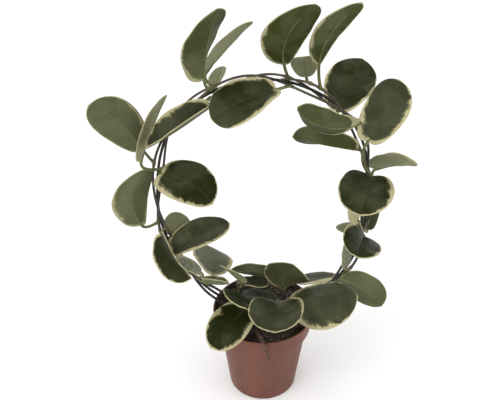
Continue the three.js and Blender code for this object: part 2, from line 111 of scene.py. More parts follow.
def new_object(name, points, faces, *materials):
    """A smooth-shaded object at the origin, with its materials."""
    mesh = bpy.data.meshes.new(name)
    mesh.from_pydata(np.asarray(points).tolist(), [], faces)
    mesh.shade_smooth()
    for material in materials:
        mesh.materials.append(material)
    piece = bpy.data.objects.new(name, mesh)
    bpy.context.scene.collection.objects.link(piece)
    return piece


def store(piece, name, values):
    """Keeps one number for each point of a piece, for its material to read."""
    kept = piece.data.attributes.new(name, "FLOAT", "POINT")
    kept.data.foreach_set("value", np.ascontiguousarray(values, np.float32).ravel())


def apply_modifiers(piece):
    """Replaces a piece's mesh by what its modifiers make of it."""
    graph = bpy.context.evaluated_depsgraph_get()
    mesh = bpy.data.meshes.new_from_object(piece.evaluated_get(graph))
    piece.modifiers.clear()
    piece.data = mesh


def new_material(name, roughness, specular):
    """A material with the Principled shader that Blender gives it, its constant numbers set."""
    material = bpy.data.materials.new(name)
    material.use_nodes = True
    shader = material.node_tree.nodes["Principled BSDF"]
    shader.inputs["Roughness"].default_value = roughness
    shader.inputs["Specular IOR Level"].default_value = specular
    return material, material.node_tree, shader


def add_node(tree, kind, inputs, **settings):
    """Adds a node to a tree. An input that is given a socket is linked to it, any other gets the value."""
    node = tree.nodes.new(kind)
    for setting, value in settings.items():
        setattr(node, setting, value)
    for socket, value in inputs.items():
        if isinstance(value, bpy.types.NodeSocket):
            tree.links.new(value, node.inputs[socket])
        else:
            node.inputs[socket].default_value = value
    return node


def add_math(tree, operation, first, second=0.0):
    node = add_node(tree, "ShaderNodeMath", {0: first, 1: second}, operation=operation)
    return node.outputs[0]


def times(tree, first, second):
    return add_math(tree, "MULTIPLY", first, second)


def attribute(tree, name):
    """What store kept under a name, as a number that changes over the surface."""
    return add_node(tree, "ShaderNodeAttribute", {}, attribute_name=name).outputs["Fac"]


def add_ramp(tree, factor, low, high, start=0.0, end=1.0):
    """Start up to the low value of the factor, end from the high value on, and a smooth step between."""
    sockets = {"Value": factor, "From Min": low, "From Max": high, "To Min": start, "To Max": end}
    return add_node(tree, "ShaderNodeMapRange", sockets, interpolation_type="SMOOTHSTEP").outputs["Result"]


def add_mix(tree, factor, first, second):
    """A colour between the first, at factor 0, and the second, at factor 1. For colours, the node's sockets
    are inputs 0, 6 and 7 and output 2."""
    node = add_node(tree, "ShaderNodeMix", {0: factor, 6: first, 7: second}, data_type="RGBA")
    return node.outputs[2]


def add_bump(tree, shader, height, distance):
    bump = add_node(tree, "ShaderNodeBump", {"Height": height, "Distance": distance, "Strength": 1.0})
    tree.links.new(bump.outputs["Normal"], shader.inputs["Normal"])


def paint(tree, shader, colour):
    tree.links.new(colour, shader.inputs["Base Color"])


def new_group(name, inputs, outputs):
    """A shader node group. An input has a name, a kind and a value, and each output is a number."""
    group = bpy.data.node_groups.new(name, "ShaderNodeTree")
    for socket, kind, value in inputs:
        group.interface.new_socket(socket, in_out="INPUT", socket_type=kind).default_value = value
    for socket in outputs:
        group.interface.new_socket(socket, in_out="OUTPUT", socket_type="NodeSocketFloat")
    return group, group.nodes.new("NodeGroupInput").outputs, group.nodes.new("NodeGroupOutput").inputs


def build_mottle():
    """Cloudy variation on a piece: a large noise on Object coordinates, and a grain 14 times as fine."""
    inputs = [("Scale", "NodeSocketFloat", 40.0), ("Stretch", "NodeSocketVector", (1, 1, 1))]
    group, given, made = new_group("mottle", inputs, ("Cloud", "Grain"))
    place = add_node(group, "ShaderNodeTexCoord", {}).outputs["Object"]
    stretch = {0: place, 1: given["Stretch"]}
    stretched = add_node(group, "ShaderNodeVectorMath", stretch, operation="MULTIPLY").outputs[0]
    large = {"Vector": stretched, "Scale": given["Scale"], "Detail": 3.0, "Roughness": 0.55}
    fine = {"Vector": stretched, "Scale": times(group, given["Scale"], 14.0), "Detail": 4.0}
    group.links.new(add_node(group, "ShaderNodeTexNoise", large).outputs["Fac"], made["Cloud"])
    group.links.new(add_node(group, "ShaderNodeTexNoise", fine).outputs["Fac"], made["Grain"])
    return group


MOTTLE = build_mottle()


def add_mottle(tree, scale, stretch=(1, 1, 1)):
    node = add_node(tree, "ShaderNodeGroup", {}, node_tree=MOTTLE)
    node.inputs["Scale"].default_value = scale
    node.inputs["Stretch"].default_value = stretch
    return node.outputs["Cloud"], node.outputs["Grain"]


def pot_plastic():
    """Matt plastic: two brick reds in clouds, paler scuffs and dirt specks, with painted shade: the inside of
    the rim band darkened to near black down to the soil."""
    material, tree, shader = new_material("pot_plastic", 0.55, 0.35)
    cloud, grain = add_mottle(tree, 22.0, (1, 1, 0.5))
    spots = add_mottle(tree, 60.0)[1]
    base = add_mix(tree, add_ramp(tree, cloud, 0.35, 0.65), BRICK_RED, DARK_BRICK)
    scuffed = add_mix(tree, add_ramp(tree, grain, 0.6, 0.75, 0.0, 0.3), base, SCUFF_PINK)
    dirty = add_mix(tree, add_ramp(tree, spots, 0.66, 0.72, 0.0, 0.55), scuffed, DIRT_BROWN)
    place = add_node(tree, "ShaderNodeTexCoord", {}).outputs["Object"]
    level = add_node(tree, "ShaderNodeVectorMath", {0: place, 1: (1, 1, 0)}, operation="MULTIPLY").outputs[0]
    radius = add_node(tree, "ShaderNodeVectorMath", {0: level}, operation="LENGTH").outputs["Value"]
    height = add_node(tree, "ShaderNodeSeparateXYZ", {0: place}).outputs["Z"]
    # Painted shade: the pot's inner wall above the band's step is painted near black, down to the soil.
    band_slope = (RIM_RADIUS - BAND_LOW_RADIUS) / (POT_HEIGHT - BAND_BOTTOM)
    lean = times(tree, add_math(tree, "SUBTRACT", height, POT_HEIGHT), band_slope)
    depth = add_math(tree, "SUBTRACT", radius, add_math(tree, "ADD", lean, RIM_RADIUS))
    inside = add_ramp(tree, depth, -0.9 * WALL, -0.7 * WALL, 1.0, 0.0)
    high = add_ramp(tree, height, BAND_BOTTOM + 3 * WALL, BAND_BOTTOM + 4 * WALL)
    painted_shade = times(tree, times(tree, inside, high), 0.9)
    with_inner_shade = add_mix(tree, painted_shade, dirty, RIM_INSIDE_SHADE)
    paint(tree, shader, with_inner_shade)
    tree.links.new(add_ramp(tree, cloud, 0.3, 0.7, 0.48, 0.62), shader.inputs["Roughness"])
    add_bump(tree, shader, grain, 0.15 * MM)
    return material


def make_pot():
    """The profile goes out along the underside, up the outside, over the rim and down the inside to the
    floor. Drills then cut the drain holes."""
    corners = np.array([
        (0, 0),
        (BASE_RADIUS - BASE_ROUNDING, 0),
        (BASE_RADIUS - BASE_ROUNDING * 0.3, BASE_ROUNDING * 0.3),
        (BASE_RADIUS + POT_CHAMFER, BASE_ROUNDING),
        (BODY_TOP_RADIUS, BAND_BOTTOM),
        (BAND_LOW_RADIUS - POT_CHAMFER, BAND_BOTTOM),
        (BAND_LOW_RADIUS, BAND_BOTTOM + POT_CHAMFER),
        (RIM_RADIUS, POT_HEIGHT - POT_CHAMFER),
        (RIM_RADIUS - POT_CHAMFER, POT_HEIGHT),
        (RIM_RADIUS - WALL, POT_HEIGHT),
        (RIM_RADIUS - WALL - POT_CHAMFER, POT_HEIGHT - 2 * POT_CHAMFER),
        (BAND_LOW_RADIUS - WALL, BAND_BOTTOM + WALL + STEP_HEIGHT),
        (BODY_TOP_RADIUS - WALL, BAND_BOTTOM + WALL),
        (BASE_RADIUS - WALL + POT_CHAMFER, FLOOR + FOOT_BEVEL_HEIGHT),
        (BASE_RADIUS - WALL - FOOT_BEVEL_WIDTH, FLOOR),
        (0, FLOOR),
    ])
    pot = new_object("pot_moulded", *turned(rounded(corners, EDGE_BEND, EDGE_STEPS), POT_SEGMENTS))
    low, high = -FLOOR, 2 * FLOOR
    drill_profile = np.array([(0, low), (DRAIN_HOLE_RADIUS, low), (DRAIN_HOLE_RADIUS, high), (0, high)])
    points, faces = turned(drill_profile, DRAIN_HOLE_SIDES)
    drills = []
    for hole in range(DRAIN_HOLES):
        angle = 2 * np.pi * (hole + 0.5) / DRAIN_HOLES
        centre = (DRAIN_RING_RADIUS * np.cos(angle), DRAIN_RING_RADIUS * np.sin(angle), 0)
        drill = new_object(f"drill_{hole}", points + np.array(centre), faces)
        cut = pot.modifiers.new("drain", "BOOLEAN")
        cut.object = drill
        drills.append(drill)
    apply_modifiers(pot)
    for drill in drills:
        bpy.data.objects.remove(drill)
    pot.data.materials.clear()
    pot.data.materials.append(pot_plastic())
    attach(pot, "root")
    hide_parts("pot")


make_pot()

# Soil: dark peat and bark, filled to just under the rim and firmed by hand. It is one solid with an uneven
# top, under loose crumbs of bark and a few pale granules.
SOIL_EDGE_HEIGHT = 107.5 * MM
SOIL_MOUND = 3 * MM
SOIL_LUMP = 1.1 * MM
SOIL_ROUGHNESS = 0.35 * MM
SOIL_EDGE_DROP = 0.5 * MM
SOIL_GAP = 0.4 * MM
SOIL_RINGS = 110
SOIL_SEGMENTS = 220
CRUMBS = 4200
CRUMB_SIZE = 0.85 * MM
CRUMB_SIZE_SPREAD = 0.42
CRUMB_STRETCH = (0.55, 1.25)
CRUMB_LUMPS = (0.75, 1.2)
CRUMB_LIFT = 0.35
CRUMB_EDGE_GAP = 1.2 * MM
DAMP_PEAT = (0.038, 0.029, 0.021, 1)
DRY_PEAT = (0.09, 0.07, 0.05, 1)
PALE_BIT = (0.20, 0.15, 0.11, 1)
BLACK_CRUMB = (0.032, 0.025, 0.018, 1)
BROWN_CRUMB = (0.13, 0.10, 0.07, 1)
TAN_CRUMB = (0.25, 0.19, 0.14, 1)
CRUMB_DUST = (0.05, 0.038, 0.03, 1)
BAND_STEP = BAND_BOTTOM + WALL
INNER_HEIGHTS = np.array([FLOOR, FLOOR + FOOT_BEVEL_HEIGHT, BAND_STEP, BAND_STEP + STEP_HEIGHT, POT_HEIGHT])
soil_draw = np.random.default_rng(11)


def inner_radius(height):
    """The pot's inner radius at a height, along straight lines between the corners of its profile."""
    lower = [BASE_RADIUS - FOOT_BEVEL_WIDTH, BASE_RADIUS + POT_CHAMFER, BODY_TOP_RADIUS]
    upper = [BAND_LOW_RADIUS, RIM_RADIUS - POT_CHAMFER]
    return np.interp(height, INNER_HEIGHTS, np.array(lower + upper) - WALL)


def soil_height(x, y):
    """The edge's height, plus a mound that falls with the square of the radius, plus waves: the product of
    two sines 30 and 24 mm long, and a third sine 11 mm long."""
    mound = SOIL_MOUND * (1 - (x ** 2 + y ** 2) / RIM_RADIUS ** 2)
    u, v = x / MM, y / MM
    waves = np.sin(0.21 * u + 0.4) * np.sin(0.26 * v + 1.1) + 0.6 * np.sin(0.43 * u - 0.37 * v)
    return SOIL_EDGE_HEIGHT + mound + SOIL_LUMP * waves


def peat():
    """Peat: near-black and brown grains, damp and dry patches, a few pale bits, with a deep bump."""
    material, tree, shader = new_material("peat", 0.9, 0.25)
    cloud, grain = add_mottle(tree, 90.0)
    cells = add_node(tree, "ShaderNodeTexVoronoi", {"Scale": 700.0}).outputs
    damp = add_mix(tree, add_ramp(tree, cloud, 0.35, 0.65), DAMP_PEAT, DRY_PEAT)
    bits = add_mix(tree, add_ramp(tree, cells["Color"], 0.72, 0.8, 0.0, 0.5), damp, PALE_BIT)
    paint(tree, shader, add_mix(tree, add_ramp(tree, grain, 0.45, 0.6), bits, damp))
    add_bump(tree, shader, cells["Distance"], 1.2 * MM)
    return material


def make_peat():
    """Rings of points up the pot's inner wall, a small gap inside it, then rings that shrink to the centre
    over the rough top."""
    t = np.linspace(0, 2 * np.pi, SOIL_SEGMENTS, endpoint=False)
    side = INNER_HEIGHTS[:-1] + SOIL_GAP
    top_radius = inner_radius(SOIL_EDGE_HEIGHT) - SOIL_GAP
    shares = 1 - np.arange(SOIL_RINGS) / SOIL_RINGS
    radius = np.concatenate([inner_radius(side) - SOIL_GAP, top_radius * shares])[:, None]
    x, y = radius * np.cos(t), -radius * np.sin(t)
    z = np.broadcast_to(np.concatenate([side, np.zeros(SOIL_RINGS)])[:, None], x.shape).copy()
    rough = soil_draw.normal(0, SOIL_ROUGHNESS, (SOIL_RINGS, SOIL_SEGMENTS))
    z[len(side):] = soil_height(x, y)[len(side):] + rough
    z[len(side)] -= SOIL_EDGE_DROP
    rings = np.stack([x, y, z], -1)
    skin = closed_skin(rings, (0, 0, side[0]), (0, 0, soil_height(0.0, 0.0)))
    piece = new_object("soil_peat", *skin, peat())
    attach(piece, "root")
    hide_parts("soil")


def crumb_bark():
    """Bark and granules: one colour for each crumb, from near-black peat to tan bark and pale grit."""
    material, tree, shader = new_material("crumb_bark", 0.85, 0.3)
    shade = attribute(tree, "shade")
    brown = add_mix(tree, add_ramp(tree, shade, 0.0, 0.75), BLACK_CRUMB, BROWN_CRUMB)
    tan = add_mix(tree, add_ramp(tree, shade, 0.78, 0.95), brown, TAN_CRUMB)
    grain = add_mottle(tree, 250.0)[1]
    dusty = add_mix(tree, add_ramp(tree, grain, 0.4, 0.65, 0.0, 0.4), tan, CRUMB_DUST)
    paint(tree, shader, dusty)
    add_bump(tree, shader, grain, 0.2 * MM)
    return material


def scattered(count, edge):
    """Random places on the soil, evenly spread: radius = edge times the square root of a random share."""
    radius = edge * np.sqrt(soil_draw.random(count))
    angle = 2 * np.pi * soil_draw.random(count)
    x, y = radius * np.cos(angle), radius * np.sin(angle)
    return np.stack([x, y, soil_height(x, y)], -1)


def unit_quaternions(count):
    """Random turns, evenly spread: four normal draws each, scaled to length 1."""
    drawn = soil_draw.normal(size=(count, 4))
    return drawn / np.linalg.norm(drawn, axis=1, keepdims=True)


def make_loose():
    """Crumbs: one 20-sided ball copied to each random place, with its own size, stretch, lumps and turn."""
    hull = bpy.data.meshes.new("crumb_form")
    shape = bmesh.new()
    bmesh.ops.create_icosphere(shape, subdivisions=1, radius=1.0)
    shape.to_mesh(hull)
    shape.free()
    corners = np.array([v.co for v in hull.vertices])
    triangles = np.array([p.vertices for p in hull.polygons])
    bpy.data.meshes.remove(hull)
    centres = scattered(CRUMBS, inner_radius(SOIL_EDGE_HEIGHT) - CRUMB_EDGE_GAP)
    size = CRUMB_SIZE * soil_draw.lognormal(-0.25, CRUMB_SIZE_SPREAD, CRUMBS)
    stretch = size[:, None] * soil_draw.uniform(*CRUMB_STRETCH, (CRUMBS, 3))
    local = corners * soil_draw.uniform(*CRUMB_LUMPS, (CRUMBS, len(corners), 1)) * stretch[:, None]
    w, x, y, z = np.moveaxis(unit_quaternions(CRUMBS), 1, 0)
    turn = np.stack([
        1 - 2 * (y * y + z * z), 2 * (x * y - z * w), 2 * (x * z + y * w),
        2 * (x * y + z * w), 1 - 2 * (x * x + z * z), 2 * (y * z - x * w),
        2 * (x * z - y * w), 2 * (y * z + x * w), 1 - 2 * (x * x + y * y),
    ], -1).reshape(-1, 3, 3)
    centres[:, 2] += CRUMB_LIFT * size
    points = np.einsum("nij,nkj->nki", turn, local) + centres[:, None]
    faces = triangles + len(corners) * np.arange(CRUMBS)[:, None, None]
    piece = new_object("soil_crumbs", points.reshape(-1, 3), faces.reshape(-1, 3).tolist(), crumb_bark())
    store(piece, "shade", np.repeat(soil_draw.random(CRUMBS), len(corners)))
    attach(piece, "root")


make_peat()
make_loose()

# Wire hoop: a round steel wire with a dark coating, bent to an ellipse. Its two ends turn down into the
# soil, about 80 mm apart, and carry the whole plant.
HOOP_CENTRE_X = -2 * MM
HOOP_CENTRE_Z = 268 * MM
HOOP_HALF_WIDTH = 114 * MM
HOOP_HALF_HEIGHT = 151 * MM
HOOP_SHOULDER = 6.5 * MM
HOOP_LEAN = 5 * MM
LEG_START_ANGLE = 150
LEG_SPREAD = 38 * MM
LEG_DROP = 57 * MM
HOOP_END_ANGLE = 178
WIRE_RADIUS = 1.5 * MM
WIRE_SIDES = 14
HOOP_STEPS = 420
DOME_PLACES = np.array([0.65, 0.25, 0.05])
DOME_TOP = 0.3
WIRE_BLACK = (0.012, 0.014, 0.011, 1)
RUBBED_BLACK = (0.035, 0.034, 0.028, 1)


def hoop_point(angle):
    """A place on the hoop by its angle from the top, negative to the left: x = centre + half width sin a +
    shift sin^2 2a, z = centre + half height cos a, where the shift makes shoulders above and leans right
    below. Past the leg's start it blends over to an upright leg and drops."""
    beyond = np.clip((np.abs(angle) - LEG_START_ANGLE) / (180 - LEG_START_ANGLE), 0, 1)
    ease = np.clip(2 * beyond, 0, 1)
    ease = ease * ease * (3 - 2 * ease)
    shift = np.where(np.abs(angle) < 90, HOOP_SHOULDER * np.sign(angle), HOOP_LEAN)
    bend = shift * np.sin(np.radians(2 * angle)) ** 2
    ellipse_x = HOOP_CENTRE_X + HOOP_HALF_WIDTH * np.sin(np.radians(angle)) + bend
    x = ellipse_x + (np.sign(angle) * LEG_SPREAD - ellipse_x) * ease
    z = HOOP_CENTRE_Z + HOOP_HALF_HEIGHT * np.cos(np.radians(angle)) - LEG_DROP * beyond ** 1.5
    return np.stack([x, np.zeros_like(x), z], -1)


def unit(vectors):
    return vectors / np.linalg.norm(vectors, axis=-1, keepdims=True)


def tube(path, radii, sides, reference):
    """A round tube: each ring is path + radius (cos t side - sin t top), where side is the reference made
    square to the path, and top is square to both. A dome closes each end, with three rings beyond it: at d
    of the end's radius, a ring is sqrt(1 - d^2) as wide."""
    ahead = unit(np.gradient(path, axis=0))
    side = unit(reference - ahead * (ahead @ reference)[:, None])
    top = np.cross(ahead, side)
    before = path[:1] - ahead[:1] * (radii[0] * DOME_PLACES)[:, None]
    after = path[-1:] + ahead[-1:] * (radii[-1] * DOME_PLACES[::-1])[:, None]
    path = np.concatenate([before, path, after])
    widths = np.sqrt(1 - DOME_PLACES ** 2)
    radii = np.concatenate([radii[0] * widths, radii, radii[-1] * widths[::-1]])
    ends = len(DOME_PLACES)
    side = np.concatenate([side[:1].repeat(ends, 0), side, side[-1:].repeat(ends, 0)])
    top = np.concatenate([top[:1].repeat(ends, 0), top, top[-1:].repeat(ends, 0)])
    t = np.linspace(0, 2 * np.pi, sides, endpoint=False)[None, :, None]
    rings = path[:, None] + radii[:, None, None] * (np.cos(t) * side[:, None] - np.sin(t) * top[:, None])
    start = path[0] - ahead[0] * radii[0] * DOME_TOP
    return closed_skin(rings, start, path[-1] + ahead[-1] * radii[-1] * DOME_TOP)


def wire_coating():
    """Dark green-black coating: even colour with dull rubbed patches and fine pits."""
    material, tree, shader = new_material("wire_coating", 0.42, 0.25)
    cloud, grain = add_mottle(tree, 120.0)
    rubbed = add_mix(tree, add_ramp(tree, cloud, 0.5, 0.7), WIRE_BLACK, RUBBED_BLACK)
    paint(tree, shader, rubbed)
    tree.links.new(add_ramp(tree, cloud, 0.3, 0.7, 0.35, 0.55), shader.inputs["Roughness"])
    add_bump(tree, shader, grain, 0.08 * MM)
    return material


def make_hoop():
    path = hoop_point(np.linspace(-HOOP_END_ANGLE, HOOP_END_ANGLE, HOOP_STEPS))
    radii = np.full(len(path), WIRE_RADIUS)
    piece = new_object("hoop_wire", *tube(path, radii, WIRE_SIDES, np.array((0, 1, 0))), wire_coating())
    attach(piece, "root")
    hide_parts("wire_hoop")


make_hoop()

# Stems: four long vines that wind round the wire, and four short shoots that stand in the soil. They are
# woody and dark brown at the root, greener towards the top, and thicker where a leaf leaves them.
VINE_RADIUS = 1.6 * MM
VINE_TIP_SHARE = 0.75
VINE_DISTANCE = 5.2 * MM
VINE_TURN = 5
NODE_SWELLING = 0.7 * MM
NODE_LENGTH = 4 * MM
STEM_SIDES = 14
VINE_STEPS = 520
SHOOT_STEPS = 60
# hoop angle where the vine starts and where it ends, and its phase round the wire, in degrees
VINES = {
    "vine_left_long": (-HOOP_END_ANGLE, 32, 0),
    "vine_left_short": (-HOOP_END_ANGLE, -26, 180),
    "vine_right_long": (HOOP_END_ANGLE, -48, 90),
    "vine_right_short": (HOOP_END_ANGLE, 8, 270),
}
# places from the soil to the tip, in millimetres
SHOOTS = {
    "shoot_left": [(-26, 14, 88), (-26, 14, 112), (-27, 12, 128), (-28, 9, 142)],
    "shoot_low": [(-2, -22, 88), (-2, -24, 112), (-4, -27, 126), (-8, -29, 134)],
    "shoot_front": [(5, -8, 88), (6, -10, 112), (10, -14, 130), (17, -19, 141)],
    "shoot_right": [(25, 12, 88), (25, 10, 112), (25, 6, 134), (23, 3, 152)],
}


def vine_point(name, angle):
    """The hoop's point, plus the vine's distance times (cos turn outward + sin turn Y), where the turn is
    the vine's phase plus five times the hoop angle."""
    turn = np.radians(VINES[name][2] + VINE_TURN * angle)[..., None]
    ahead = unit(hoop_point(angle + 0.01) - hoop_point(angle - 0.01))
    outward = np.stack([-ahead[..., 2], ahead[..., 1], ahead[..., 0]], -1)
    return hoop_point(angle) + VINE_DISTANCE * (np.cos(turn) * outward + np.sin(turn) * np.array((0, 1, 0)))


def through(places, share):
    """A smooth curve through the places: between two of them, the cubic whose slope at each is half the
    step from the place before it to the place after it."""
    places = np.array(places, float) * MM
    places = np.concatenate([2 * places[:1] - places[1:2], places, 2 * places[-1:] - places[-2:-1]])
    reach = np.clip(np.asarray(share, float), 0, 1) * (len(places) - 3)
    first = np.minimum(reach.astype(int), len(places) - 4)
    t = (reach - first)[..., None]
    a, b, c, d = (places[first + k] for k in range(4))
    return b + 0.5 * t * (c - a + t * (2 * a - 5 * b + 4 * c - d + t * (3 * (b - c) + d - a)))


def stem_point(stem, place):
    """A place on a vine is its hoop angle, and on a shoot a share from the soil to the tip."""
    place = np.asarray(place, float)
    return vine_point(stem, place) if stem in VINES else through(SHOOTS[stem], place)


# Leaves: thick, waxy and smooth, each grown in one with its petiole. The upper face is dark green, the lower
# one paler and duller, and the margin is cream, with a jagged inner edge that follows the side veins.
BLADE_THICKNESS = 1.3 * MM
BLADE_ROWS = 46
BLADE_COLUMNS = 36
OUTLINE_POWER = 0.88
BASE_WIDTH_SHARE = 0.08
TIP_WIDTH_SHARE = 0.02
TIP_LENGTH_SHARE = 0.02
TIP_POWER = 24
LOBE_SHARE = 0.13
LOBE_POWER = 1.6
LOBE_FULL_WIDTH = 0.625
TWIST_CENTRE = 0.3
CREASE_SHARE = 0.05
WAVE_SHARE = 0.01
FINE_WAVE = 0.6
FINE_WAVES_MORE = 1.3
DROOP_SHARE = 0.025
EDGE_ROUNDING = 0.9
PETIOLE_RADIUS = 1.6 * MM
PETIOLE_STEPS = 26
PETIOLE_SIDES = 12
PETIOLE_ENTRY_ROW = 7
PETIOLE_OUT = 0.35
PETIOLE_DIP = 0.15
PETIOLE_IN = 0.4
PETIOLE_FLARE = 0.45
PETIOLE_FLARE_STEPS = 4.0
MIDRIB_END = 0.72
MIDRIB_SINK_SHARE = 0.06
MIDRIB_THINNEST = 0.2
# name, stem, place on it, base, length, width, azimuth, rise, roll, arch, fold at base and tip, sweep, twist,
# in millimetres and degrees. The sweep is a share of the length.
LEAVES = [
    ("top_1", "vine_right_long", -24, (-60, -14, 425), 75, 54, -13, 79, 25, 25, 50, 0, 0, 0),
    ("top_2", "vine_left_short", -24, (-60, 17, 417), 69, 36, 10, 47, 40, 15, 17, 15, 0, 0),
    ("top_3", "vine_left_short", -23, (-52, 30, 393), 25, 22, 19, 69, 65, 20, 30, 5, 0, 0),
    ("top_4", "vine_right_long", 13, (9, -22, 419), 68, 53, -160, -16, 10, 10, 20, 5, -0.03, -35),
    ("top_5", "vine_left_long", 11, (17, -1, 435), 75, 49, -36, 66, 35, -10, 25, 5, -0.16, 0),
    ("top_6", "vine_right_short", 26, (51, -1, 435), 77, 33, -21, 62, 50, -5, 40, 5, -0.13, 5),
    ("top_7", "vine_right_short", 21, (41, 24, 409), 39, 28, -106, 56, -15, 20, 20, 10, 0, 0),
    ("right_1", "vine_right_short", 40, (73, 9, 378), 72, 53, 64, 24, -10, 5, 35, -5, 0, 0),
    ("right_2", "vine_right_short", 74, (103, -17, 358), 72, 47, 54, 38, -10, 25, 25, 5, -0.05, 10),
    ("right_3", "vine_right_long", 46, (86, -29, 383), 63, 50, -170, 24, -55, -45, 5, 30, -0.12, -15),
    ("right_4", "vine_right_short", 64, (93, -15, 347), 67, 44, 164, 3, -50, -10, 45, 25, 0, 36),
    ("right_5", "vine_right_short", 82, (120, 18, 301), 59, 44, -52, 38, 30, -5, 24, 10, 0, -25),
    ("right_6", "vine_right_short", 77, (110, -10, 311), 68, 58, -105, -2, 5, 20, 15, 10, 0, 5),
    ("right_7", "vine_right_long", 104, (110, -10, 231), 59, 48, -105, 15, 35, 20, 30, 10, -0.05, 35),
    ("right_8", "vine_right_short", 108, (109, 33, 202), 38, 22, -146, 41, -60, 10, 15, 5, 0, -10),
    ("right_9", "vine_right_short", 100, (105, 9, 238), 34, 20, 102, -5, 70, 15, 15, 0, 0, -5),
    ("right_10", "vine_right_short", 104, (117, 14, 222), 48, 29, 86, 65, -35, 15, 10, 5, 0, 0),
    ("right_11", "vine_right_long", 126, (92, -8, 185), 42, 22, 0, 89, -140, 10, 10, 0, 0, -5),
    ("left_1", "vine_left_long", -70, (-129, 5, 336), 77, 46, -160, 51, -100, 5, 30, 5, 0.08, 15),
    ("left_2", "vine_left_short", -72, (-128, -13, 332), 73, 38, 38, 61, 55, 15, 18, 14, 0, 0),
    ("left_3", "vine_left_long", -27, (-54, -23, 402), 85, 45, 175, -38, 25, 5, 65, 30, 0.04, 30),
    ("left_4", "vine_left_short", -100, (-135, -7, 244), 69, 46, 45, 79, 100, 5, 25, 5, -0.2, 0),
    ("left_5", "vine_left_short", -73, (-110, -8, 313), 70, 51, -37, -7, -25, 10, 0, 10, 0.09, -25),
    ("left_6", "vine_left_long", -110, (-103, -14, 212), 71, 45, 15, 22, -10, 15, 30, 5, 0.02, -10),
    ("left_7", "vine_left_short", -104, (-106, 14, 213), 29, 37, 49, 24, 125, 10, 20, 0, 0, 0),
    ("left_8", "vine_left_long", -102, (-114, -7, 232), 59, 44, -40, -45, -90, 50, 15, 30, -0.05, -15),
    ("low_1", "vine_left_short", -134, (-72, -12, 180), 35, 27, -178, 39, -5, 10, 15, -5, 0, -5),
    ("low_2", "vine_left_short", -140, (-71, -10, 166), 31, 22, -4, -4, 20, -30, 58, 50, 0, 0),
    ("low_3", "vine_left_short", -142, (-59, 7, 160), 61, 48, 100, -3, -15, 20, 30, -15, -0.05, 0),
    ("low_4", "shoot_left", 0.95, (-26, -3, 158), 42, 28, -148, 55, -20, 20, 15, 0, 0, -5),
    ("low_5", "shoot_left", 0.8, (-28, 11, 146), 34, 27, 0, -5, 15, 10, 15, 0, 0, 0),
    ("low_6", "shoot_right", 0.95, (15, 17, 149), 56, 39, -170, 21, -60, 15, 10, 10, 0, -5),
    ("low_7", "shoot_right", 0.8, (20, 0, 148), 57, 54, -60, 65, 35, 0, 25, -10, 0, -25),
    ("low_8", "vine_right_long", 144, (84, 30, 136), 50, 40, 157, -20, -15, 5, 5, 0, 0, 0),
    ("low_9", "shoot_front", 0.85, (16, -35, 153), 64, 65, -95, 15, -5, 30, 30, 10, 0, 0),
    ("low_10", "shoot_low", 0.95, (-17, -25, 143), 68, 46, -130, -15, 10, 20, 10, 10, 0, -45),
    ("low_11", "shoot_low", 0.8, (-9, -43, 150), 47, 32, 180, 40, -15, 10, 15, -10, 0, -5),
    ("low_12", "shoot_front", 0.6, (16, -2, 128), 52, 39, -165, 20, -10, 15, 15, -5, 0, 15),
    ("low_13", "shoot_front", 1, (28, -32, 155), 77, 70, -5, 10, -20, 50, -40, -15, -0.05, -15),
    ("low_14", "vine_right_long", 130, (90, 2, 159), 66, 46, 0, -40, 80, 15, 20, 10, -0.05, 0),
]
LEAF_COLUMNS = (
    "name", "stem", "place", "base", "length", "width", "azimuth", "rise", "roll",
    "arch", "fold_base", "fold_tip", "sweep", "twist",
)
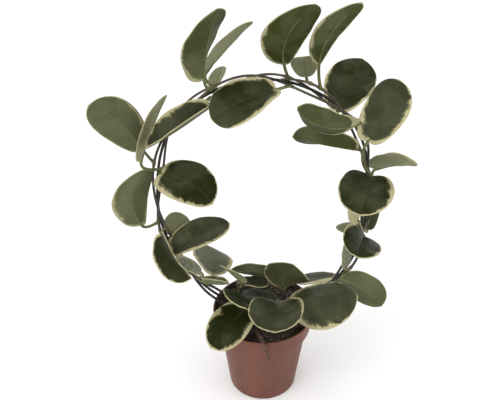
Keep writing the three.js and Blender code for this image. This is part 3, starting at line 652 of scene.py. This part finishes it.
# Leaf markings: millimetres of cream at five places from base to tip, on the plus side and on the minus side,
# then the leaf's tone from 0 to 1: how pale its green is, partly its own paleness, partly painted shade (low
# on leaves deep in the foliage, such as low_11 and low_12) and painted light (raised on leaves that show grey
# sheen or lie in shade)
CREAM_PLACES = (0.05, 0.25, 0.5, 0.75, 0.95)
BARE = (0.2,) * 5
MARKINGS = {
    "top_1": (BARE, (2.0, 2.4, 0.9, 0.2, 0.1), 0.15),
    "top_2": (BARE, (0.6, 1.2, 1.0, 0.3, 0.2), 1.0),
    "top_3": ((1.5, 1.5, 1.2, 1.0, 0.8), (0.4, 0.4, 0.3, 0.3, 0.3), 1.0),
    "top_4": ((1.5, 2.6, 2.8, 1.4, 0.1), (3.6, 3.6, 2.4, 0.6, 0.1), 0.05),
    "top_5": ((1.2, 1.5, 1.0, 0.5, 0.0), (2.5, 3.2, 2.2, 0.4, 0.0), 0.02),
    "top_6": ((1.2, 1.5, 1.4, 1.0, 0.3), (2.0, 2.8, 2.6, 0.9, 0.2), 0.09),
    "top_7": ((2.4, 2.4, 0.8, 0.3, 0.2), (0.6, 0.4, 0.3, 0.3, 0.2), 0.75),
    "right_1": ((1.4, 2.5, 2.2, 0.5, 0.0), (1.6, 1.8, 1.4, 0.3, 0.0), 0.03),
    "right_2": ((3.0, 3.8, 1.6, 0.3, 0.1), (2.0, 2.8, 3.0, 2.8, 0.8), 0.15),
    "right_3": ((4.0, 1.6, 0.4, 0.3, 0.2), (2.4, 0.9, 0.7, 0.6, 0.4), 0.16),
    "right_4": ((2.0, 0.6, 0.3, 0.3, 0.2), (1.6, 0.8, 0.5, 0.3, 0.3), 0.12),
    "right_5": ((0.8, 0.9, 1.0, 1.4, 2.6), (0.4, 0.4, 0.5, 1.0, 2.6), 0.8),
    "right_6": ((1.0, 3.2, 4.0, 2.0, 0.9), (0.7, 0.7, 0.9, 0.9, 0.7), 0.05),
    "right_7": ((0.8, 1.1, 1.8, 1.6, 0.8), (3.0, 4.6, 1.6, 0.5, 0.4), 0.0),
    "right_8": ((1.2, 1.2, 1.0, 0.8, 0.6), (1.2, 1.0, 0.8, 0.8, 0.6), 1.0),
    "right_9": ((40,) * 5, (40,) * 5, 0.5),
    "right_10": ((0.3, 0.3, 0.2, 0.2, 0.2), (0.3, 0.3, 0.2, 0.2, 0.2), 0.12),
    "right_11": ((0.4, 0.4, 0.3, 0.3, 0.2), (0.4, 0.4, 0.3, 0.3, 0.2), 0.8),
    "left_1": ((1.0, 3.0, 3.0, 0.9, 0.2), (0.8, 1.0, 0.9, 0.6, 0.3), 0.33),
    "left_2": ((0.3, 0.3, 0.3, 0.6, 1.5), (1.0, 1.2, 1.0, 0.9, 1.5), 0.95),
    "left_3": ((0.9, 0.9, 0.9, 0.9, 0.6), (2.5, 1.6, 3.8, 2.4, 2.6), 0.17),
    "left_4": ((1.8, 1.8, 0.7, 0.3, 0.2), (3.0, 3.8, 2.4, 0.7, 0.3), 0.32),
    "left_5": ((0.4, 0.6, 0.8, 1.1, 0.8), (6.5, 5.0, 2.8, 3.0, 0.9), 0.05),
    "left_6": ((1.8, 1.5, 0.4, 0.1, 0.1), (2.0, 2.8, 3.0, 2.4, 0.8), 0.15),
    "left_7": ((0.4, 0.4, 0.3, 0.3, 0.2), (0.4, 0.4, 0.3, 0.3, 0.2), 0.62),
    "left_8": ((0.4, 0.4, 0.4, 0.4, 0.3), (1.5, 2.5, 2.8, 2.0, 0.8), 0.0),
    "low_1": ((0.8, 0.8, 0.8, 1.0, 2.0), (0.3, 0.4, 1.5, 4.0, 5.0), 1.0),
    "low_2": ((1.4, 1.6, 1.6, 1.4, 1.0), (1.0, 1.2, 1.2, 1.0, 0.8), 0.42),
    "low_3": ((2.0, 2.4, 2.2, 1.4, 0.4), (2.0, 3.0, 3.0, 1.5, 0.3), 0.44),
    "low_4": (BARE, BARE, 1.0),
    "low_5": ((0.6, 0.6, 0.6, 0.5, 0.4), (0.6, 0.6, 0.6, 0.5, 0.4), 0.28),
    "low_6": ((0.3, 0.3, 0.3, 0.3, 0.3), (0.8, 0.8, 0.7, 0.6, 0.4), 0.6),
    "low_7": ((0.6, 0.6, 0.5, 0.4, 0.2), (1.5, 1.8, 1.8, 0.5, 0.2), 0.2),
    "low_8": ((3.5, 7.0, 6.5, 4.0, 2.0), (0.6, 0.6, 0.5, 0.5, 0.4), 0.12),
    "low_9": ((2.0, 3.6, 2.4, 0.8, 0.5), (0.6, 0.5, 1.2, 0.9, 0.5), 0.12),
    "low_10": ((0.9, 2.5, 3.6, 3.4, 1.2), (1.4, 2.6, 4.0, 1.4, 0.7), 0.02),
    "low_11": ((1.0, 1.0, 1.0, 0.8, 0.6), (0.3, 0.3, 0.3, 0.3, 0.2), 0.0),
    "low_12": (BARE, BARE, 0.0),
    "low_13": ((4.5, 5.0, 3.0, 1.0, 0.4), (2.5, 4.6, 4.4, 1.8, 0.4), 0.15),
    "low_14": (BARE, BARE, 0.3),
}
leaf_draw = np.random.default_rng(5)


def leaf_axes(leaf):
    """Unit vectors: along the line from base to tip, out of the upper face, and across it."""
    a, r, k = np.radians((leaf["azimuth"], leaf["rise"], leaf["roll"]))
    chord = np.array((np.cos(r) * np.cos(a), np.cos(r) * np.sin(a), np.sin(r)))
    level = np.array((-np.sin(r) * np.cos(a), -np.sin(r) * np.sin(a), np.cos(r)))
    up = np.cos(k) * level + np.sin(k) * np.cross(level, chord)
    return chord, up, np.cross(up, chord)


def length_share(row):
    """How far along the leaf a row lies, with the rows closer at both ends: (1 - cos(pi row)) / 2."""
    return (1 - np.cos(np.pi * row)) / 2


def half_width_share(row):
    """A blunt sine of the row, with a least width at the base and at the tip."""
    least = np.where(row < 0.5, BASE_WIDTH_SHARE, TIP_WIDTH_SHARE)
    return np.maximum(np.sin(np.pi * row) ** OUTLINE_POWER, least)


def blade_middle(leaf, row, column):
    """The blade's middle surface. Its midrib is an arc from base to tip, swept to one side. The halves fold
    up from a soft crease along the midrib. Two lobes pull the base back, the margin droops and waves a
    little, and the tip turns against the base by the twist."""
    chord, up, across = leaf_axes(leaf)
    length, width = leaf["length"] * MM, leaf["width"] * MM
    share = length_share(row)
    reach = share + TIP_LENGTH_SHARE * row ** TIP_POWER
    arch = np.radians(leaf["arch"] or 1)
    arc = length / (2 * np.sin(arch / 2))
    lean = (arch / 2 - arch * reach)[..., None]
    along = np.cos(lean) * chord + np.sin(lean) * up
    above = -np.sin(lean) * chord + np.cos(lean) * up
    point = np.array(leaf["base"]) * MM + arc * (np.sin(arch / 2) - np.sin(lean)) * chord
    point = point + arc * (np.cos(lean) - np.cos(arch / 2)) * up
    point = point + (leaf["sweep"] * length * 4 * reach * (1 - reach))[..., None] * across
    twist = (np.radians(leaf["twist"]) * (share - TWIST_CENTRE))[..., None]
    side = np.cos(twist) * across + np.sin(twist) * above
    face = np.cos(twist) * above - np.sin(twist) * across
    fold = np.radians(leaf["fold_base"] + (leaf["fold_tip"] - leaf["fold_base"]) * share)
    spread = half_width_share(row)
    soft = np.sqrt(column ** 2 + CREASE_SHARE ** 2) - CREASE_SHARE
    wave = np.sin(2 * np.pi * (leaf["waves"] * share + leaf["phase"])) * np.sign(column)
    fine = np.sin(2 * np.pi * ((leaf["waves"] + FINE_WAVES_MORE) * share - leaf["phase"]))
    wave = wave + FINE_WAVE * fine
    lift = width / 2 * spread * soft * np.sin(fold) + WAVE_SHARE * width * wave * column ** 2 * spread
    lift = lift - DROOP_SHARE * width * spread * column ** 4
    lobe = LOBE_SHARE * width * (1 - share) ** 3 * np.minimum(1, spread / LOBE_FULL_WIDTH)
    point = point + (width / 2 * spread * column * np.cos(fold))[..., None] * side
    point = point + lift[..., None] * face
    return point - (lobe * np.abs(column) ** LOBE_POWER)[..., None] * along


def inset_of(leaf, row, column):
    """Distance to the leaf's edge in millimetres. With x along and y across, both 1 at the edge of the
    leaf's ellipse, it is (1 - F) / slope of F, where F = sqrt(x^2 + y^2). F has no slope at the centre, so a
    quarter of the width is added there."""
    share = length_share(row)
    x = 2 * share - 1
    y = column * np.sqrt(np.maximum(1 - x ** 2, 0))
    f = np.sqrt(x ** 2 + y ** 2)
    slope = np.sqrt((x / (leaf["length"] / 2)) ** 2 + (y / (leaf["width"] / 2)) ** 2) + 1e-4
    return np.maximum((1 - f) * f / slope, 0) + np.where(f < 0.05, leaf["width"] / 4, 0)


def blade(leaf):
    """A closed skin: the middle surface moved out both ways by half the thickness, which falls to nothing at
    the edge in a round bend. Both faces share the edge's points."""
    step = np.linspace(-1, 1, BLADE_COLUMNS + 1)
    column = np.sign(step) * length_share(np.abs(step))
    row, column = np.meshgrid(np.linspace(0, 1, BLADE_ROWS + 1), column, indexing="ij")
    middle = blade_middle(leaf, row, column)
    normal = unit(np.cross(np.gradient(middle, axis=0), np.gradient(middle, axis=1)))
    inset = inset_of(leaf, row, column)
    bend = np.clip(inset / EDGE_ROUNDING, 0, 1)
    half = BLADE_THICKNESS / 2 * np.sqrt(1 - (1 - bend) ** 2)[..., None]
    edge = np.ones(row.shape, bool)
    edge[1:-1, 1:-1] = False
    upper = np.where(edge[..., None], middle, middle + half * normal)
    lower = (middle - half * normal)[1:-1, 1:-1]
    numbers = np.arange(row.size).reshape(row.shape)
    under = numbers.copy()
    under[1:-1, 1:-1] = row.size + np.arange(lower.size // 3).reshape(lower.shape[:2])
    faces = np.concatenate([grid_faces(numbers), grid_faces(under)[:, ::-1]])
    share = length_share(row)
    facts = {
        "inset": inset,
        "cream": cream_width(leaf, share, column),
        "along": share * leaf["length"],
        "across": leaf["width"] / 2 * half_width_share(row) * column,
    }
    facts = {name: np.append(values, values[1:-1, 1:-1]) for name, values in facts.items()}
    points = np.concatenate([upper.reshape(-1, 3), lower.reshape(-1, 3)])
    return points, faces, facts, (row, middle, normal)


def cream_width(leaf, share, column):
    """The margin's width: a line through the five widths of each side, with the two sides blended over the
    midrib."""
    plus, minus = MARKINGS[leaf["name"]][:2]
    right = (column + 1) / 2
    return np.interp(share, CREAM_PLACES, minus) * (1 - right) + np.interp(share, CREAM_PLACES, plus) * right


def petiole(leaf, row, middle, normal):
    """A tube that leaves the stem, bends straight into the blade's base on a cubic curve, and runs on under
    the blade as the midrib, half sunk in it and thinning towards its end."""
    start = stem_point(leaf["stem"], leaf["place"])
    centre = middle.shape[1] // 2
    rib = middle[:, centre]
    into = unit(rib[PETIOLE_ENTRY_ROW] - rib[0])
    neck = rib[0]
    span = np.linalg.norm(neck - start)
    leaving = start + PETIOLE_OUT * (neck - start) - PETIOLE_DIP * span * into
    arriving = neck - PETIOLE_IN * span * into
    t = np.linspace(0, 1, PETIOLE_STEPS)[:, None]
    rest = 1 - t
    stalk = rest ** 3 * start + 3 * t * rest ** 2 * leaving + 3 * t ** 2 * rest * arriving + t ** 3 * neck
    last = int(MIDRIB_END * BLADE_ROWS)
    sink = np.clip(length_share(row[2:last, centre]) / MIDRIB_SINK_SHARE, 0, 1)[:, None]
    under = rib[2:last] - sink * (BLADE_THICKNESS / 2) * normal[2:last, centre]
    path = np.concatenate([stalk, under])
    ahead = np.concatenate([np.ones(len(stalk)), np.linspace(1, 0, last - 2) ** 3])
    radii = PETIOLE_RADIUS * (MIDRIB_THINNEST + (1 - MIDRIB_THINNEST) * ahead)
    radii = radii * (1 + PETIOLE_FLARE * np.exp(-(np.arange(len(path)) / PETIOLE_FLARE_STEPS) ** 2))
    bend = np.cross(leaving - start, into)
    reference = unit(bend) if np.linalg.norm(bend) > 1e-6 else leaf_axes(leaf)[2]
    return tube(path, radii, PETIOLE_SIDES, reference)


# Sizes of the markings on a leaf, in millimetres. The slant, the stretch, the depths and the share have no
# unit.
VEIN_SLANT = 0.62
VEIN_HALF_SPACING = 4.1
VEIN_HALF_WIDTH = 2.2
VEIN_WANDER = 6.0
VEIN_FADE = (0.5, 8.0)
MIDRIB_FADE = (0.2, 1.1)
SIDE_SHIFT = 37.0
STREAK_STRETCH = 0.3
STREAK_DEPTH = 2.6
DRIFT_DEPTH = 2.0
LEAST_CREAM = 0.12
HALO_SHARE = 1.1


def build_margin():
    """Where the cream lies on a leaf. The margin's width is its stored width times a factor that drifts along
    the leaf, with finer streaks along the side veins, and the edge's distance is compared with it."""
    inputs = [("Softness", "NodeSocketFloat", 0.3)]
    group, given, made = new_group("leaf_margin", inputs, ("Cream", "Halo", "Midrib", "Veins"))
    read = {name: attribute(group, name) for name in ("inset", "cream", "along", "across", "seed")}
    away = add_math(group, "ABSOLUTE", read["across"])
    vein = add_math(group, "SUBTRACT", read["along"], times(group, away, VEIN_SLANT))
    half = times(group, add_math(group, "SIGN", read["across"]), SIDE_SHIFT)
    strip = add_math(group, "ADD", add_math(group, "ADD", vein, half), read["seed"])
    outward = times(group, away, STREAK_STRETCH)
    place = add_node(group, "ShaderNodeCombineXYZ", {"X": strip, "Y": outward})
    streak = {"Vector": place.outputs[0], "Scale": 0.34, "Detail": 4.0, "Roughness": 0.62}
    streaks = add_node(group, "ShaderNodeTexNoise", streak).outputs["Fac"]
    drift = {"W": strip, "Scale": 0.09, "Detail": 1.0}
    drifts = add_node(group, "ShaderNodeTexNoise", drift, noise_dimensions="1D").outputs["Fac"]
    fine = times(group, add_math(group, "SUBTRACT", streaks, 0.5), STREAK_DEPTH)
    large = times(group, add_math(group, "SUBTRACT", drifts, 0.5), DRIFT_DEPTH)
    share = add_math(group, "ADD", add_math(group, "ADD", fine, 1.0), large)
    width = times(group, read["cream"], share)
    over = add_math(group, "SUBTRACT", add_math(group, "ADD", width, LEAST_CREAM), read["inset"])
    soft = add_math(group, "DIVIDE", over, given["Softness"])
    group.links.new(add_ramp(group, soft, -0.5, 0.5), made["Cream"])
    further = times(group, times(group, read["cream"], drifts), HALO_SHARE)
    wider = add_math(group, "DIVIDE", add_math(group, "ADD", over, further), given["Softness"])
    group.links.new(add_ramp(group, wider, -0.5, 0.5), made["Halo"])
    group.links.new(add_ramp(group, away, *MIDRIB_FADE, 1.0, 0.0), made["Midrib"])
    bent = add_math(group, "ADD", vein, times(group, drifts, VEIN_WANDER))
    line = add_math(group, "PINGPONG", bent, VEIN_HALF_SPACING)
    near = add_ramp(group, line, 0.0, VEIN_HALF_WIDTH, 1.0, 0.0)
    inside = add_ramp(group, read["inset"], *VEIN_FADE)
    group.links.new(times(group, near, inside), made["Veins"])
    return group


MARGIN = build_margin()
LEAF_RELIEF = 0.5 * MM
CREAM_UPPER = ((0.47, 0.43, 0.25, 1), (0.36, 0.33, 0.18, 1))
CREAM_LOWER = ((0.38, 0.36, 0.21, 1), (0.30, 0.28, 0.15, 1))
PETIOLE_DARK = (0.075, 0.085, 0.018, 1)
PETIOLE_PALE = (0.14, 0.145, 0.045, 1)


def leaf_skin(name, deep, pale, drift, painted_sheen, furrow, rib, cream, roughness, specular, tint, ridge, softness):
    """One face of the leaves: the leaf's green between deep and pale, set by its tone (partly painted shade
    and painted light), with painted sheen: grey patches in clouds that stand for the gloss's reflection,
    weaker on leaves of low tone. Side veins of the deep green show on pale leaves, and the midrib is paler. A
    half-pale zone and the cream margin lie over them. The fourth number of the sheen colour and of rib is how
    far that colour covers. The tint colours the gloss where it is seen straight on."""
    material, tree, shader = new_material(name, roughness, specular)
    shader.inputs["Specular Tint"].default_value = tint
    margin = add_node(tree, "ShaderNodeGroup", {}, node_tree=MARGIN)
    margin.inputs["Softness"].default_value = softness
    found = margin.outputs
    tone = attribute(tree, "tone")
    wide, grain = add_mottle(tree, scale=34.0)
    cloud = add_mottle(tree, scale=55.0)[0]
    # The tone moves the green between deep and pale: partly the leaf's own paleness, partly painted shade and
    # painted light.
    drifting = add_math(tree, "ADD", tone, add_ramp(tree, wide, 0.35, 0.65, -drift, drift))
    green = add_mix(tree, drifting, deep, pale)
    # Painted sheen: grey patches in clouds stand for the gloss reflecting the bright surroundings, at a
    # quarter strength on leaves of tone 0.
    patches = times(tree, add_ramp(tree, cloud, 0.4, 0.7), add_ramp(tree, wide, 0.4, 0.6))
    strength = add_ramp(tree, tone, 0.0, 0.1, 0.25 * painted_sheen[3], painted_sheen[3])
    with_sheen = add_mix(tree, times(tree, patches, strength), green, (*painted_sheen[:3], 1))
    furrows = times(tree, found["Veins"], add_ramp(tree, tone, 0.3, 0.6, 0.05, furrow))
    veined = add_mix(tree, furrows, with_sheen, deep)
    ribbed = add_mix(tree, times(tree, found["Midrib"], rib[3]), veined, (*rib[:3], 1))
    between = add_mix(tree, 0.5, ribbed, cream[1])
    edged = add_mix(tree, times(tree, found["Halo"], 0.5), ribbed, between)
    creamy = add_mix(tree, add_ramp(tree, cloud, 0.3, 0.7), cream[0], cream[1])
    paint(tree, shader, add_mix(tree, found["Cream"], edged, creamy))
    rough = add_ramp(tree, patches, 0.0, 1.0, roughness + 0.06, roughness - 0.06)
    tree.links.new(rough, shader.inputs["Roughness"])
    quilt = times(tree, found["Veins"], -0.2)
    midrib = times(tree, found["Midrib"], ridge)
    swell = times(tree, wide, 3.5)
    height = add_math(tree, "ADD", add_math(tree, "ADD", quilt, midrib), swell)
    height = add_math(tree, "ADD", height, times(tree, grain, 0.05))
    add_bump(tree, shader, height, LEAF_RELIEF)
    return material


def petiole_skin():
    """Petiole: two olive greens in soft clouds, smooth, with a faint grain."""
    material, tree, shader = new_material("petiole_skin", 0.42, 0.45)
    cloud, grain = add_mottle(tree, 90.0)
    green = add_mix(tree, add_ramp(tree, cloud, 0.3, 0.7), PETIOLE_DARK, PETIOLE_PALE)
    paint(tree, shader, green)
    add_bump(tree, shader, grain, 0.1 * MM)
    return material


# The painted sheen is strong on the upper face and faint on the lower one.
UPPER_SKIN = leaf_skin(
    "leaf_upper", deep=(0.013, 0.017, 0.003, 1), pale=(0.225, 0.235, 0.155, 1), drift=0.05,
    painted_sheen=(0.078, 0.085, 0.042, 0.6), furrow=0.45, rib=(0.07, 0.08, 0.035, 0.25), cream=CREAM_UPPER,
    roughness=0.36, specular=0.09, tint=(1, 1, 0.7, 1), ridge=-0.5, softness=0.4,
)
LOWER_SKIN = leaf_skin(
    "leaf_lower", deep=(0.032, 0.039, 0.006, 1), pale=(0.27, 0.283, 0.162, 1), drift=0.07,
    painted_sheen=(0.10, 0.10, 0.07, 0.15), furrow=0.08, rib=(0.09, 0.10, 0.035, 0.15), cream=CREAM_LOWER,
    roughness=0.6, specular=0.12, tint=(1, 1, 1, 1), ridge=0.25, softness=0.5,
)
PETIOLE_SKIN = petiole_skin()


def make_leaf(leaf):
    """One object: the blade's upper and lower faces and the petiole, each with its own material."""
    points, faces, facts, grid = blade(leaf)
    stalk_points, stalk_faces = petiole(leaf, *grid)
    joined = np.concatenate([points, stalk_points])
    corners = faces.tolist() + [[corner + len(points) for corner in face] for face in stalk_faces]
    piece = new_object("blade_" + leaf["name"], joined, corners, UPPER_SKIN, LOWER_SKIN, PETIOLE_SKIN)
    for name, values in facts.items():
        store(piece, name, np.concatenate([values, np.zeros(len(stalk_points))]))
    store(piece, "seed", np.full(len(joined), leaf["seed"]))
    # The tone is partly the leaf's own paleness, partly painted shade and painted light.
    store(piece, "tone", np.full(len(joined), MARKINGS[leaf["name"]][2]))
    slots = np.repeat([0, 1, 2], [len(faces) // 2, len(faces) // 2, len(stalk_faces)])
    piece.data.polygons.foreach_set("material_index", slots.astype(np.int32))
    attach(piece, "root")
    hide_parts("leaf_" + leaf["name"])


leaves = [dict(zip(LEAF_COLUMNS, row)) for row in LEAVES]
for leaf in leaves:
    leaf["waves"], leaf["phase"], leaf["seed"] = leaf_draw.uniform((1.2, 0, 100), (2.4, 1, 900))
    make_leaf(leaf)

# The stems' meshes come after the leaves, because they are thicker and greener where a leaf leaves them.
# They use the vines and shoots given above.
BARK_BLACK = (0.011, 0.009, 0.007, 1)
BARK_BROWN = (0.032, 0.026, 0.02, 1)
YOUNG_BROWN = (0.095, 0.07, 0.038, 1)
YOUNG_GREEN = (0.17, 0.145, 0.07, 1)
BARK_SPECK = (0.22, 0.19, 0.18, 1)
GREEN_FROM = 250 * MM
GREEN_RISE = 300 * MM
GREEN_NODE = 9 * MM


def stem_bark():
    """Stem skin: dark brown bark low down, olive green higher up and beside each leaf, with pale specks."""
    material, tree, shader = new_material("stem_bark", 0.4, 0.22)
    youth = attribute(tree, "youth")
    cloud, grain = add_mottle(tree, 60.0)
    patches = add_ramp(tree, cloud, 0.35, 0.65)
    brown = add_mix(tree, patches, BARK_BLACK, BARK_BROWN)
    green = add_mix(tree, patches, YOUNG_BROWN, YOUNG_GREEN)
    mixed = add_mix(tree, youth, brown, green)
    specked = add_mix(tree, add_ramp(tree, grain, 0.52, 0.68, 0, 0.45), mixed, BARK_SPECK)
    paint(tree, shader, specked)
    add_bump(tree, shader, grain, 0.25 * MM)
    return material


STEM_BARK = stem_bark()


def nearest(places, nodes):
    """How far each place is from the leaf node nearest to it."""
    return np.linalg.norm(places[:, None] - nodes[None], axis=-1).min(axis=1)


def make_stem(name):
    """A tube along the stem, its radius raised by a bell at each place where a leaf leaves it."""
    if name in VINES:
        share = np.linspace(0, 1, VINE_STEPS)
        start, end = VINES[name][:2]
        path = vine_point(name, start + (end - start) * share)
        taper = 1 + (VINE_TIP_SHARE - 1) * share
    else:
        path = through(SHOOTS[name], np.linspace(0, 1, SHOOT_STEPS))
        taper = np.ones(SHOOT_STEPS)
    nodes = np.array([stem_point(name, leaf["place"]) for leaf in leaves if leaf["stem"] == name])
    radii = VINE_RADIUS * taper + NODE_SWELLING * np.exp(-(nearest(path, nodes) / NODE_LENGTH) ** 2)
    points, faces = tube(path, radii, STEM_SIDES, np.array((0, 1, 0)))
    piece = new_object("stem_" + name, points, faces, STEM_BARK)
    youth = np.clip((points[:, 2] - GREEN_FROM) / GREEN_RISE, 0, 1) * 0.7
    youth = youth + 0.6 * np.exp(-(nearest(points, nodes) / GREEN_NODE) ** 2)
    store(piece, "youth", np.clip(youth, 0, 1))
    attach(piece, "root")
    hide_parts(name)


for stem in [*VINES, *SHOOTS]:
    make_stem(stem)

# Dry stem: a dead stub of an old shoot, brown and cracked. It leaves the soil at the front, bends over the
# rim and ends in front of its band.
DRY_STEM_RADIUS = 2.4 * MM
DRY_STEM_TAPER = 0.25
DRY_STEM_STEPS = 90
DRY_STEM_SIDES = 16
DRY_STEM_PATH = [
    (-12, -26, 98), (-10, -34, 109), (-6, -47, 117), (-3, -57, 119.5), (1, -64.5, 116), (6, -65, 98),
]
DEAD_BROWN = (0.06, 0.035, 0.022, 1)
DEAD_TAN = (0.16, 0.095, 0.062, 1)
CRACK_BLACK = (0.03, 0.02, 0.015, 1)


def dry_bark():
    """Dead bark: brown and tan patches, taller than wide, with dark cracks."""
    material, tree, shader = new_material("dry_bark", 0.85, 0.25)
    cloud, grain = add_mottle(tree, 150.0, (2, 2, 0.4))
    brown = add_mix(tree, add_ramp(tree, cloud, 0.35, 0.65), DEAD_BROWN, DEAD_TAN)
    cracked = add_mix(tree, add_ramp(tree, grain, 0.5, 0.7, 0, 0.6), brown, CRACK_BLACK)
    paint(tree, shader, cracked)
    add_bump(tree, shader, grain, 0.6 * MM)
    return material


def make_dry_stem():
    """A tube through the places. Its radius thins with the square of the share, and two sines of the share
    make it uneven."""
    share = np.linspace(0, 1, DRY_STEM_STEPS)
    path = through(DRY_STEM_PATH, share)
    radii = DRY_STEM_RADIUS * (1 - DRY_STEM_TAPER * share ** 2)
    radii = radii * (1 + 0.07 * np.sin(37 * share) + 0.05 * np.sin(91 * share + 1))
    piece = new_object("dry_stem_bark", *tube(path, radii, DRY_STEM_SIDES, np.array((1, 0, 0))), dry_bark())
    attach(piece, "root")
    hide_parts("dry_stem")


make_dry_stem()

# Studio: a pale paper floor under a white sky, lit by two soft round lamps. The camera stands where the
# photograph's was worked out to be, and looks 35.5 degrees down.
FLOOR_HALF = 20.0
FLOOR_PAPER = ((0.955, 0.955, 0.955, 1), (0.975, 0.975, 0.975, 1))
# name, place, diameter and watts
LAMPS = [("key", (-0.9, -1.0, 1.9), 1.2, 14), ("fill", (1.3, -0.6, 1.2), 1.0, 4)]
LAMP_AIM = (0, 0, 0.22)
CAMERA_PLACE = (-0.016, -0.7361, 0.7982)
CAMERA_TILT = np.radians(54.5)
CAMERA_LENS = 60.05
CAMERA_SENSOR = 36


def make_studio():
    corners = FLOOR_HALF * np.array([(-1, -1, 0), (1, -1, 0), (1, 1, 0), (-1, 1, 0)])
    material, tree, shader = new_material("floor_paper", 0.9, 0.1)
    paper = add_mix(tree, add_mottle(tree, 3.0)[0], *FLOOR_PAPER)
    paint(tree, shader, paper)
    floor = new_object("floor", corners, [[0, 1, 2, 3]], material)
    world = bpy.data.worlds.new("studio")
    bpy.context.scene.world = world
    world.use_nodes = True
    world.node_tree.nodes["Background"].inputs["Color"].default_value = (1, 1, 1, 1)
    world.node_tree.nodes["Background"].inputs["Strength"].default_value = 1.0
    for name, place, size, power in LAMPS:
        lamp = bpy.data.lights.new(name, "AREA")
        lamp.shape = "DISK"
        lamp.size = size
        lamp.energy = power
        holder = bpy.data.objects.new(name, lamp)
        holder.location = place
        x, y, z = np.array(LAMP_AIM) - np.array(place)
        holder.rotation_euler = (np.arctan2(np.hypot(x, y), -z), 0, np.arctan2(y, x) - np.pi / 2)
        bpy.context.scene.collection.objects.link(holder)
    camera = bpy.data.cameras.new("camera")
    camera.lens = CAMERA_LENS
    camera.sensor_width = CAMERA_SENSOR
    holder = bpy.data.objects.new("camera", camera)
    holder.location = CAMERA_PLACE
    holder.rotation_euler = (CAMERA_TILT, 0, 0)
    bpy.context.scene.collection.objects.link(holder)
    bpy.context.scene.camera = holder
    bpy.context.scene.view_settings.view_transform = "Standard"


make_studio()
